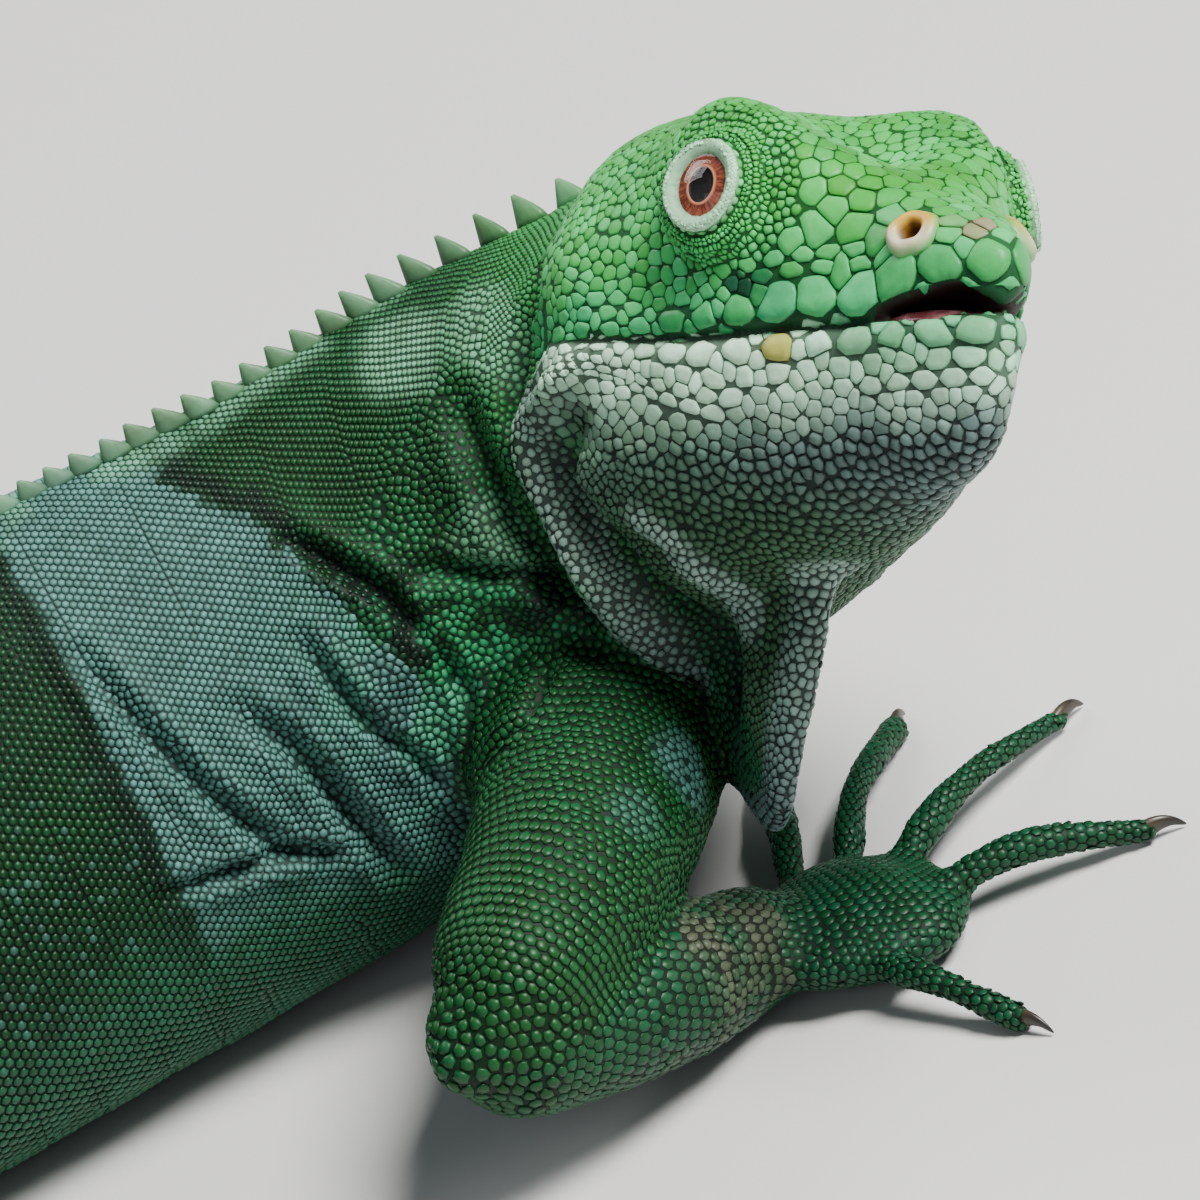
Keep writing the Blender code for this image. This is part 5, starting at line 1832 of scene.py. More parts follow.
        return np.minimum(limit.min(1), own), along, across

    def clear_of_lips(self, places: Array, upper: Array) -> Array:
        """Moves the corners of the face's plates back to the lip that they belong to.

        Args:
            places: corners (n, sides, 3).
            upper: which plates lie over the mouth (n,).

        Returns:
            The corners, none of them across the gap between the lips.
        """
        head = self.body.head
        local = head.local(places.reshape(-1, 3))
        line = head.mouth_line(local[:, 0])
        over = np.repeat(upper, places.shape[1])
        floor = line + head.lifted(local[:, 0]) + 0.10
        local[:, 2] = np.where(over, np.maximum(local[:, 2], floor), np.minimum(local[:, 2], line - 0.06))
        return head.world(local).reshape(places.shape)

    @staticmethod
    def oval_radius(size: Array, bearing: Array) -> Array:
        """Radius of an oval of half length and half width at a bearing."""
        return 1.0 / np.sqrt((np.cos(bearing) / size[..., 0]) ** 2 + (np.sin(bearing) / size[..., 1]) ** 2)

    def scale_meshes(self, seeds: Seeds, which: Array, kind: ScaleKind,
                     index: Array) -> tuple[Array, list, Array]:
        """Points, faces and rim shares of the scales of one kind.

        Returns:
            Points (n, corners, 3), the faces of one scale, and how high on the scale each corner is.
        """
        shape = SCALE_SHAPES[kind]
        radius, along, across = self.outlines(seeds, which, shape, index)
        count, sides = len(which), shape.sides
        wave = self.random.random((count, 3))
        radius = radius * shape.spread
        height = seeds.size[which].mean(1) * shape.height * (0.86 + 0.28 * wave[:, 0])
        angle = round_angles(sides)
        x, y = radius * np.cos(angle), radius * np.sin(angle)
        normal = seeds.normal[which]
        tilt = (wave[:, 1:] - 0.5) * 0.10
        points, crown = [], []
        for share, rise in shape.rings:
            along_by, across_by = x * share, y * share
            up = height[:, None] * rise
            if rise >= 0:
                up = up + (along_by * (tilt[:, :1] + shape.lean * 0.55) + across_by * tilt[:, 1:])
            place = (seeds.point[which][:, None] + along[:, None] * along_by[..., None]
                     + across[:, None] * across_by[..., None])
            outward = np.repeat(normal[:, None], sides, 1)
            over = seeds.group[which] == HEAD
            if kind in BENT_KINDS:
                bent, outward, _ = self.onto_skin(self.clear_of_lips(place, over).reshape(-1, 3))
                place, outward = bent.reshape(place.shape), outward.reshape(place.shape)
            place = place + outward * up[..., None]
            points.append(self.clear_of_lips(place, over) if kind in BENT_KINDS else place)
            crown.append(np.full(sides, max(rise, 0.0)))
        top = seeds.point[which] + normal * height[:, None]
        points = np.concatenate([*points, top[:, None]], 1)
        crown = np.concatenate([*crown, [1.0]])
        faces = [tuple(range(sides - 1, -1, -1))]
        for k in range(len(shape.rings) - 1):
            for j in range(sides):
                a, b = k * sides + j, k * sides + (j + 1) % sides
                faces.append((a, b, b + sides, a + sides))
        last = (len(shape.rings) - 1) * sides
        faces += [(last + j, last + (j + 1) % sides, last + sides) for j in range(sides)]
        return points, faces, crown

    def build(self) -> list[bpy.types.Object]:
        """Seeds the whole skin, evens the seeds out and makes the coat's pieces."""
        parts = [self.trunk_rows(), self.tail_rows()] + [self.limb_rows(limb) for limb in self.body.limbs]
        rows = Seeds.joined(parts)
        place, _ = self.body.spine.locate(rows.point)
        rows = rows.chosen(~((place > self.rows_end) & (rows.group <= LAST_OF_TRUNK)))
        seeds = Seeds.joined(self.face_rows() + [rows])
        seeds = self.without_crowding(seeds)
        LOG.info("%d scales in rows", len(seeds))
        seeds = Seeds.joined([seeds, self.fill(seeds)])
        body = seeds.group > THROAT
        head = self.evened(seeds.chosen(~body), self.spread_rounds[0])
        seeds = Seeds.joined([head, self.evened(seeds.chosen(body), self.spread_rounds[1])])
        seeds = self.without_crowding(seeds)
        LOG.info("%d scales in all", len(seeds))
        return self.pieces(seeds)

    def unwrapped(self, seeds: Seeds) -> Array:
        """Place of each seed on its piece's flat map."""
        place, angle = self.body.spine.locate(seeds.point)
        made = seeds.unwrap.copy()
        for group in range(LAST_OF_TRUNK + 1):
            mine = seeds.group == group
            if mine.any():
                low, high = place[mine].min(), place[mine].max()
                made[mine, 0] = (angle[mine] + 180.0) / 360.0
                made[mine, 1] = (place[mine] - low) / max(high - low, 1e-6)
        return 0.01 + 0.98 * np.clip(made, 0.0, 1.0)

    def pieces(self, seeds: Seeds) -> list[bpy.types.Object]:
        """One mesh object for each part of the coat."""
        colour = self.markings.paint(seeds.point)
        unwrap = self.unwrapped(seeds)
        index = self.neighbours(seeds, max(shape.neighbours for shape in SCALE_SHAPES.values()))
        tone = self.random.random((len(seeds), 2))[:, 0]
        made = []
        for group, name in enumerate(GROUPS):
            points, faces, colours, crowns, tones, patches = [], [], [], [], [], []
            start = 0
            for kind in ScaleKind:
                which = np.flatnonzero((seeds.group == group) & (seeds.kind == kind.value))
                if not len(which):
                    continue
                shape = SCALE_SHAPES[kind]
                corners, sides, crown = self.scale_meshes(seeds, which, kind, index[which, :shape.neighbours])
                corners[..., 2] = np.maximum(corners[..., 2], 0.0)
                each = corners.shape[1]
                offset = start + np.arange(len(which)) * each
                for side in sides:
                    faces.extend((offset[:, None] + np.array(side)).tolist())
                points.append(corners.reshape(-1, 3))
                colours.append(np.repeat(colour[which], each, 0))
                crowns.append(np.tile(crown, len(which)))
                tones.append(np.repeat(tone[which], each, 0))
                spoke = corners - corners[:, -1:]
                flat = np.stack([(spoke * unit(seeds.along[which])[:, None]).sum(2), spoke[..., 2]], -1)
                reach = np.maximum(np.abs(flat).max((1, 2), keepdims=True), 1e-6)
                patches.append((unwrap[which][:, None] + flat / reach * self.patch_size / 2).reshape(-1, 2))
                start += each * len(which)
            piece = self.stage.add_mesh(name, np.concatenate(points), faces)
            self.dress(piece, *(np.concatenate(parts) for parts in (colours, crowns, tones, patches)))
            made.append(piece)
        return made

    @staticmethod
    def dress(piece: bpy.types.Object, colour: Array, crown: Array, tone: Array, patches: Array) -> None:
        """Stores colours, heights and flat places on a piece."""
        mesh = piece.data
        store_hide(mesh, colour, crown, tone)
        corners = np.empty(len(mesh.loops), np.int64)
        mesh.loops.foreach_get("vertex_index", corners)
        layer = mesh.uv_layers.new(name="OFBake")
        layer.data.foreach_set("uv", patches[corners].astype(np.float32).ravel())


def store_value(mesh: bpy.types.Mesh, name: str, values: Array) -> None:
    """Stores a number for each vertex."""
    attribute = mesh.attributes.new(name, "FLOAT", "POINT")
    attribute.data.foreach_set("value", np.asarray(values, np.float32))


def store_hide(mesh: bpy.types.Mesh, colour: Array, crown: Array, tone: Array) -> None:
    """Stores what the hide's finish reads at each vertex.

    Args:
        mesh: the mesh to store it on.
        colour: linear colours (n, 3).
        crown: 0 at a scale's rim, 1 at its top (n,).
        tone: a number from 0 to 1 that is the same all over a scale (n,).
    """
    attribute = mesh.color_attributes.new("hide", "FLOAT_COLOR", "POINT")
    filled = np.hstack([np.clip(colour, 0.0, BRIGHTEST), np.ones((len(colour), 1))])
    attribute.data.foreach_set("color", filled.astype(np.float32).ravel())
    store_value(mesh, "crown", crown)
    store_value(mesh, "tone", tone)


# ------------------------------------------------------------------ finishes
class NodeBench:
    """Shorthand for laying out shader nodes in one tree."""

    def __init__(self, tree: bpy.types.NodeTree) -> None:
        """Takes the tree to build in."""
        self.tree = tree

    def node(self, kind: str, **values) -> bpy.types.Node:
        """A new node with some of its properties or inputs set; sockets given are linked."""
        made = self.tree.nodes.new(kind)
        for name, value in values.items():
            key = name.replace("_", " ")
            if hasattr(made, name) and key not in made.inputs:
                setattr(made, name, value)
            else:
                self.feed(value, made.inputs[key])
        return made

    def feed(self, value: object, socket: bpy.types.NodeSocket) -> None:
        """Links a socket to an input, or sets the input's value."""
        if isinstance(value, bpy.types.NodeSocket):
            self.tree.links.new(value, socket)
        elif isinstance(value, tuple) and len(value) == 3 and socket.type == "RGBA":
            socket.default_value = (*value, 1.0)
        else:
            socket.default_value = value

    def dress(self, node: bpy.types.Node, values: dict) -> None:
        """Links or sets several inputs of a node."""
        for name, value in values.items():
            self.feed(value, node.inputs[name])

    def scaled(self, value: object, factor: float, offset: float) -> bpy.types.NodeSocket:
        """The value times a factor plus an offset."""
        return self.math("ADD", self.math("MULTIPLY", value, factor), offset)

    def place(self) -> bpy.types.NodeSocket:
        """The place on the piece, in object coordinates."""
        return self.node("ShaderNodeTexCoord").outputs["Object"]

    def stored(self, name: str, output: str = "Fac") -> bpy.types.NodeSocket:
        """What is stored on the mesh under a name."""
        return self.node("ShaderNodeAttribute", attribute_name=name).outputs[output]

    def relief(self, height: bpy.types.NodeSocket, strength: float, depth: float) -> bpy.types.NodeSocket:
        """A normal bumped by a height; its depth is in metres."""
        made = self.node("ShaderNodeBump", Height=height, Strength=strength, Distance=depth)
        return made.outputs["Normal"]

    def math(self, operation: str, first: object, second: object = 0.0) -> bpy.types.NodeSocket:
        """One Math node."""
        made = self.tree.nodes.new("ShaderNodeMath")
        made.operation = operation
        self.feed(first, made.inputs[0])
        self.feed(second, made.inputs[1])
        return made.outputs[0]

    def noise(self, vector: bpy.types.NodeSocket, scale: float, detail: float = 2.0) -> bpy.types.NodeSocket:
        """Noise between 0 and 1."""
        return self.node("ShaderNodeTexNoise", Vector=vector, Scale=scale, Detail=detail).outputs["Fac"]

    def mix(self, share: object, first: object, second: object, kind: str = "MIX") -> bpy.types.NodeSocket:
        """A colour between two others."""
        made = self.tree.nodes.new("ShaderNodeMix")
        made.data_type, made.blend_type = "RGBA", kind
        self.feed(share, made.inputs[0])
        self.feed(first, made.inputs[6])
        self.feed(second, made.inputs[7])
        return made.outputs[2]

    def ramp(self, value: object, low: float, high: float) -> bpy.types.NodeSocket:
        """The value spread so that low becomes 0 and high becomes 1."""
        made = self.tree.nodes.new("ShaderNodeMapRange")
        made.interpolation_type = "SMOOTHSTEP"
        self.feed(value, made.inputs["Value"])
        made.inputs["From Min"].default_value, made.inputs["From Max"].default_value = low, high
        return made.outputs["Result"]


def new_material(name: str) -> tuple[bpy.types.Material, NodeBench, bpy.types.Node]:
    """A new node material, the bench of its tree and its shader."""
    made = bpy.data.materials.new(name)
    made.use_nodes = True
    return made, NodeBench(made.node_tree), made.node_tree.nodes["Principled BSDF"]


def effect_group(name: str, inputs: dict, outputs: tuple, build: Callable) -> bpy.types.NodeTree:
    """A node group shared by several materials, made once.

    Args:
        name: the group's name.
        inputs: its inputs and their standard values; a tuple makes a colour.
        outputs: pairs of an output's name and its kind of socket.
        build: fills the group from a bench, its input node and its output node.

    Returns:
        The group.
    """
    found = bpy.data.node_groups.get(name)
    if found:
        return found
    made = bpy.data.node_groups.new(name, "ShaderNodeTree")
    for title, value in inputs.items():
        kind = "NodeSocketColor" if isinstance(value, tuple) else "NodeSocketFloat"
        socket = made.interface.new_socket(title, in_out="INPUT", socket_type=kind)
        socket.default_value = (*value, 1.0) if isinstance(value, tuple) else value
    for title, kind in outputs:
        made.interface.new_socket(title, in_out="OUTPUT", socket_type=kind)
    build(NodeBench(made), made.nodes.new("NodeGroupInput"), made.nodes.new("NodeGroupOutput"))
    return made


def build_hide(bench: NodeBench, start: bpy.types.Node, end: bpy.types.Node) -> None:
    """Scales darker at their rims by painted shade in the grooves between them, each a little different, with
    fine mottling and grain.
    """
    place = bench.place()
    coarse = bench.noise(place, 420.0, 3.0)
    fine = bench.noise(place, 2600.0, 2.0)
    # painted shade: the lower a point lies on its scale, the darker it is, by the rim share
    shade = bench.math("MULTIPLY", bench.math("SUBTRACT", 1.0, start.outputs["Crown"]), start.outputs["Rim"])
    rim = bench.math("SUBTRACT", 1.0, shade)
    tone = bench.scaled(start.outputs["Tone"], 0.40, 0.80)
    cloud, grain = bench.scaled(coarse, 0.5, 0.75), bench.scaled(fine, 0.24, 0.88)
    value = bench.math("MULTIPLY", bench.math("MULTIPLY", rim, tone), bench.math("MULTIPLY", cloud, grain))
    value = bench.math("MULTIPLY", value, start.outputs["Brightness"])
    scaled = bench.tree.nodes.new("ShaderNodeVectorMath")
    scaled.operation = "SCALE"
    bench.feed(start.outputs["Hide"], scaled.inputs[0])
    bench.feed(value, scaled.inputs["Scale"])
    shift = bench.node("ShaderNodeHueSaturation", Color=scaled.outputs[0], Saturation=1.05,
                       Hue=bench.scaled(start.outputs["Tone"], 0.02, 0.49))
    rough = bench.math("ADD", bench.math("MULTIPLY", fine, 0.22), start.outputs["Roughness"])
    bench.dress(end, {"Colour": shift.outputs["Color"], "Roughness": bench.math("SUBTRACT", rough, 0.11),
                      "Height": fine})


@dataclass(frozen=True)
class HideFinish:
    """The hide of skin and scales, coloured by the markings, with painted shade towards each scale's rim."""

    name: str
    brightness: float
    roughness: float
    # how strongly each scale is darkened towards its rim: painted shade in the grooves between scales
    rim: float
    coat: float = 0.0
    grain: float = 0.3

    def material(self) -> bpy.types.Material:
        """Builds the node material."""
        made, bench, shader = new_material(self.name)
        group = bench.node("ShaderNodeGroup")
        group.node_tree = effect_group(
            "hide_tone", {"Hide": (0.1, 0.4, 0.1), "Crown": 1.0, "Tone": 0.5, "Brightness": 1.0, "Rim": 0.4,
                          "Roughness": 0.5},
            (("Colour", "NodeSocketColor"), ("Roughness", "NodeSocketFloat"), ("Height", "NodeSocketFloat")),
            build_hide)
        bench.dress(group, {"Hide": bench.stored("hide", "Color"), "Crown": bench.stored("crown"),
                            "Tone": bench.stored("tone"), "Brightness": self.brightness, "Rim": self.rim,
                            "Roughness": self.roughness})
        bench.dress(shader, {"Base Color": group.outputs["Colour"], "Roughness": group.outputs["Roughness"],
                             "Normal": bench.relief(group.outputs["Height"], self.grain, 0.00006),
                             "Coat Weight": self.coat, "Coat Roughness": 0.3, "Specular IOR Level": 0.2})
        return made


@dataclass(frozen=True)
class ClawFinish:
    """Dark horn, paler at the root."""

    name: str = "claw_horn"
    root: tuple = (0.060, 0.048, 0.026)
    tip: tuple = (0.010, 0.008, 0.006)
    streak: tuple = (0.02, 0.014, 0.008)

    def material(self) -> bpy.types.Material:
        """Builds the node material."""
        made, bench, shader = new_material(self.name)
        streak = bench.noise(bench.place(), 1800.0, 3.0)
        colour = bench.mix(bench.ramp(bench.stored("share"), 0.0, 0.7), self.root, self.tip)
        colour = bench.mix(bench.math("MULTIPLY", streak, 0.5), colour, self.streak)
        bench.dress(shader, {"Base Color": colour, "Roughness": bench.scaled(streak, 0.2, 0.28)})
        return made


@dataclass(frozen=True)
class FleshFinish:
    """Moist flesh of the mouth."""

    name: str = "mouth_flesh"
    dark: tuple = (0.060, 0.014, 0.016)
    pale: tuple = (0.170, 0.070, 0.075)

    def material(self) -> bpy.types.Material:
        """Builds the node material."""
        made, bench, shader = new_material(self.name)
        place = bench.place()
        grain = bench.noise(place, 4200.0)
        colour = bench.mix(bench.ramp(bench.noise(place, 700.0), 0.35, 0.65), self.dark, self.pale)
        bench.dress(shader, {"Base Color": colour, "Normal": bench.relief(grain, 0.4, 0.00008),
                             "Roughness": bench.scaled(grain, 0.15, 0.18)})
        return made


@dataclass(frozen=True)
class IrisFinish:
    """The eyeball by rings: black pupil, thin bright ring, copper iris and dark margin."""

    name: str = "iris_copper"
    copper: tuple = (0.210, 0.052, 0.024)
    rust: tuple = (0.085, 0.014, 0.007)
    glow: tuple = (0.430, 0.180, 0.105)
    margin: tuple = (0.016, 0.006, 0.004)
    pupil: tuple = (0.002, 0.001, 0.001)

    def material(self) -> bpy.types.Material:
        """Builds the node material."""
        made, bench, shader = new_material(self.name)
        ring = bench.stored("ring")
        streak = bench.noise(bench.stored("fibre", "Vector"), 9.0, 3.0)
        colour = bench.mix(bench.ramp(streak, 0.36, 0.64), self.rust, self.copper)
        uneven = bench.math("ADD", ring, bench.math("MULTIPLY", bench.math("SUBTRACT", streak, 0.5), 0.10))
        colour = bench.mix(bench.ramp(uneven, 1.24, 1.12), colour, self.glow)
        colour = bench.mix(bench.ramp(uneven, 1.80, 2.0), colour, self.margin)
        colour = bench.mix(bench.ramp(ring, 1.06, 1.0), colour, self.pupil)
        bench.dress(shader, {"Base Color": colour, "Normal": bench.relief(streak, 0.35, 0.0001),
                             "Roughness": bench.scaled(streak, 0.2, 0.4), "Specular IOR Level": 0.1})
        return made


@dataclass(frozen=True)
class CorneaFinish:
    """Clear, wet and smooth: a thin veil that only shows its reflections."""

    name: str = "cornea_clear"
    veil: float = 0.03

    def material(self) -> bpy.types.Material:
        """Builds the node material."""
        made, bench, shader = new_material(self.name)
        bench.dress(shader, {"Base Color": (1.0, 1.0, 1.0), "Roughness": 0.03, "Metallic": 1.0,
                             "Alpha": self.veil})
        return made


# ------------------------------------------------------------------ eyes, claws, crest, mouth and nostrils
@dataclass
class Eye:
    """One eyeball with a sunken iris behind a clear cornea."""

    head: Head
    stage: Stage
    sign: int
    radius: float = 3.0
    pupil: tuple = (0.80, 0.98)
    iris: float = 2.05
    sunk: float = 0.34
    around: int = 64

    @property
    def name(self) -> str:
        """The node that the eye stands for."""
        return "eye_left" if self.sign > 0 else "eye_right"

    def lathe(self, profile: list) -> tuple[Array, Array, Array]:
        """Rings round the eye's axis.

        Args:
            profile: (half width, half height, height along the axis, ring value) from the middle outwards.

        Returns:
            Points (rings, around, 3), ring values and unit spokes (around, 2).
        """
        out, up, ahead = self.head.eye_axes(self.sign)
        angle = round_angles(self.around)
        spoke = np.stack([np.cos(angle), np.sin(angle)], -1)
        points = [self.head.eye_centre(self.sign) + out * height + ahead * (wide * spoke[:, :1])
                  + up * (tall * spoke[:, 1:]) for wide, tall, height, _ in profile]
        return np.array(points), np.array([row[3] for row in profile]), spoke

    def sphere_height(self, reach: float) -> float:
        """Height of the ball at a distance from its axis."""
        return math.sqrt(max(self.radius ** 2 - reach ** 2, 0.0))

    def iris_height(self, reach: float) -> float:
        """Height of the iris, which is sunken in the middle and meets the ball under the lids."""
        return self.sphere_height(reach) - self.sunk * float(step(1.95, 1.15, np.array(reach)))

    def add_ball(self) -> bpy.types.Object:
        """The opaque ball: pupil, iris and white."""
        wide, tall = self.pupil
        floor = self.iris_height((wide + tall) / 2)
        profile = [(0.02, 0.02, floor - 0.16, 0.0), (wide * 0.7, tall * 0.7, floor - 0.14, 0.5),
                   (wide * 0.97, tall * 0.97, floor - 0.08, 0.98), (wide, tall, floor - 0.02, 1.04)]
        for share in (0.06, 0.16, 0.3, 0.45, 0.6, 0.75, 0.88, 1.0):
            reach_wide = wide + (self.iris - wide) * share
            reach_tall = tall + (self.iris - tall) * share
            height = self.iris_height((reach_wide + reach_tall) / 2)
            profile.append((reach_wide, reach_tall, height, 1.08 + 0.92 * share))
        for angle in np.linspace(math.asin(self.iris / self.radius) + 0.03, math.pi - 0.02, 20):
            reach = self.radius * math.sin(angle)
            profile.append((reach, reach, self.radius * math.cos(angle), 2.3))
        rings, values, spoke = self.lathe(profile)
        ball = self.stage.add_mesh(self.name + "_ball", *Skin.outward(*rings_to_mesh(rings)))
        flat = np.repeat(values, self.around)
        store_value(ball.data, "ring", np.concatenate([flat, [0.0, 2.3]]))
        spokes = np.hstack([np.tile(spoke, (len(rings), 1)), flat[:, None] * 0.25])
        fibre = np.concatenate([spokes, np.zeros((2, 3))])
        attribute = ball.data.attributes.new("fibre", "FLOAT_VECTOR", "POINT")
        attribute.data.foreach_set("vector", fibre.astype(np.float32).ravel())
        return ball

    def add_cornea(self) -> bpy.types.Object:
        """The clear dome over the iris, closed behind by a face that follows the iris."""
        reach = self.iris + 0.06
        front = [(reach * k, reach * k, self.sphere_height(reach * k) + 0.05 + 0.10 * (1 - k * k), 0.0)
                 for k in np.linspace(0.01, 1.0, 18)]
        back = [(reach * k, reach * k, self.iris_height(reach * k) + 0.02, 0.0)
                for k in (0.98, 0.9, 0.8, 0.7, 0.55, 0.4, 0.2, 0.02)]
        rings, _, _ = self.lathe(front + back)
        return self.stage.add_mesh(self.name + "_cornea", *Skin.outward(*rings_to_mesh(rings)))

    def build(self, iris: bpy.types.Material, clear: bpy.types.Material) -> list[bpy.types.Object]:
        """Ball and cornea with their finishes."""
        ball, cornea = self.add_ball(), self.add_cornea()
        ball.data.materials.append(iris)
        cornea.data.materials.append(clear)
        for piece in (ball, cornea):
            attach(piece, "root")
        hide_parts(self.name)
        return [ball, cornea]


@dataclass
class Claws:
    """The five claws of one foot as a single piece."""

    limb: Limb
    stage: Stage
    sides: int = 12
    steps: int = 12
    curve: tuple = ((-0.25, 0.0), (0.65, 0.20), (1.45, 0.06), (2.15, -0.42))
    radii: tuple = ((0, 0.6, 1.6, 2.6, 3.0), (0.52, 0.50, 0.34, 0.14, 0.04))

    @property
    def foot(self) -> str:
        """The foot's name in the solids."""
        kind, side = self.limb.name.split("_")
        return f"hand_{side}" if kind == "arm" else f"hind_foot_{side}"

    def rings(self, digit: list) -> Array:
        """One claw: it rises a little from the digit, then curves down to a point."""
        before, tip = np.array(digit[-2], float), np.array(digit[-1], float)
        ahead = unit((tip - before) * (1, 1, 0.2))
        side = unit(np.cross(ahead, [0.0, 0.0, 1.0]))
        path = np.array([tip + ahead * reach + (0, 0, rise) for reach, rise in self.curve])
        places = np.linspace(0.0, len(path) - 1.0, self.steps)
        line = catmull(path, places)
        radius = np.interp(places, *self.radii)[:, None, None]
        forward = unit(np.gradient(line, axis=0))
        up = np.cross(side, forward)
        angle = round_angles(self.sides)
        c, s = np.cos(angle)[:, None], np.sin(angle)[:, None]
        return line[:, None] + side * radius * 0.68 * c + up[:, None] * radius * 1.1 * s

    def build(self) -> bpy.types.Object:
        """All claws joined."""
        points, faces, share = [], [], []
        start = 0
        for digit in self.limb.digits:
            rings = self.rings(digit)
            vertices, sides = Skin.outward(*rings_to_mesh(rings))
            vertices[:, 2] = np.maximum(vertices[:, 2], 0.02)
            points.append(vertices)
            faces += [tuple(k + start for k in face) for face in sides]
            share.append(np.concatenate([np.repeat(np.linspace(0, 1, self.steps), self.sides), [0.0, 1.0]]))
            start += len(vertices)
        piece = self.stage.add_mesh(f"claws_{self.foot}", np.concatenate(points), faces)
        store_value(piece.data, "share", np.concatenate(share))
        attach(piece, "root")
        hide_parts(*[f"{self.foot}_claw_{k}" for k in range(1, 6)])
        return piece


@dataclass
class Crest:
    """The row of spines along the back, tallest on the nape.

    The rows of a spine give a share of its height, of its width and how pale it is there.
    """

    body: Body
    stage: Stage
    markings: Markings
    hip_height: float = 0.7
    nape_height: float = 1.6
    first: float = 3.0
    last: float = 127.0
    pitch: float = 1.85
    sides: int = 10
    lean: float = 0.38
    tip: tuple = (0.13, 0.24, 0.13)
    rows: tuple = ((0.0, 1.0, 0.0), (0.22, 0.86, 0.35), (0.5, 0.6, 0.7), (0.78, 0.3, 0.95),
                   (0.94, 0.12, 1.0))

    def build(self) -> bpy.types.Object:
        """All spines in one piece."""
        random = np.random.default_rng(19)
        spine = self.body.spine
        lengths = []
        here = self.first
        while here < self.last:
            lengths.append(here)
            here += self.pitch * (0.9 + 0.2 * random.random())
        places = spine.place_at(np.array(lengths))
        roots = spine.rings(places, 60, -0.35)[:, 15]
        centres, turns, _ = spine.frames(places)
        ahead = unit(spine.frames(np.minimum(places + 0.1, 16.0))[0] - centres)
        points, faces, crown = [], [], []
        angle = round_angles(self.sides)
        for root, forward, turn, length in zip(roots, ahead, turns, lengths):
            share = min(length / 118.0, 1.0) ** 2.2
            fade = float(step(self.last + 3.0, self.last - 6.0, length))
            tall = (self.hip_height + (self.nape_height - self.hip_height) * share) * fade
            tall *= 0.85 + 0.3 * random.random()
            up, side = turn[:, 2], turn[:, 1] + 0.25 * turn[:, 2] * (random.random() - 0.5)
            rings = []
            for rise, wide, _ in self.rows:
                centre = root + up * (rise * (tall + 0.35)) - forward * (self.lean * tall * rise ** 1.4)
                long = (0.74 + 0.22 * tall) * wide
                rings.append(centre + forward * (long * np.cos(angle))[:, None]
                             + side * (0.36 + 0.06 * tall) * wide * np.sin(angle)[:, None])
            vertices, sides = Skin.outward(*rings_to_mesh(np.array(rings)))
            faces += [tuple(k + sum(len(p) for p in points) for k in face) for face in sides]
            points.append(vertices)
            crown.append(np.concatenate([np.repeat([row[2] for row in self.rows], self.sides), [0.0, 1.0]]))
        points, crown = np.concatenate(points), np.concatenate(crown)
        piece = self.stage.add_mesh("crest", points, faces)
        colour = self.markings.mix(self.markings.paint(points), self.tip, 0.35 + 0.4 * crown)
        tone = np.repeat(random.random(len(lengths)), len(crown) // len(lengths))
        # the spines' roots get a low crown share, so the hide darkens them with painted shade
        store_hide(piece.data, colour, 0.3 + 0.7 * crown, tone)
        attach(piece, "root")
        return piece


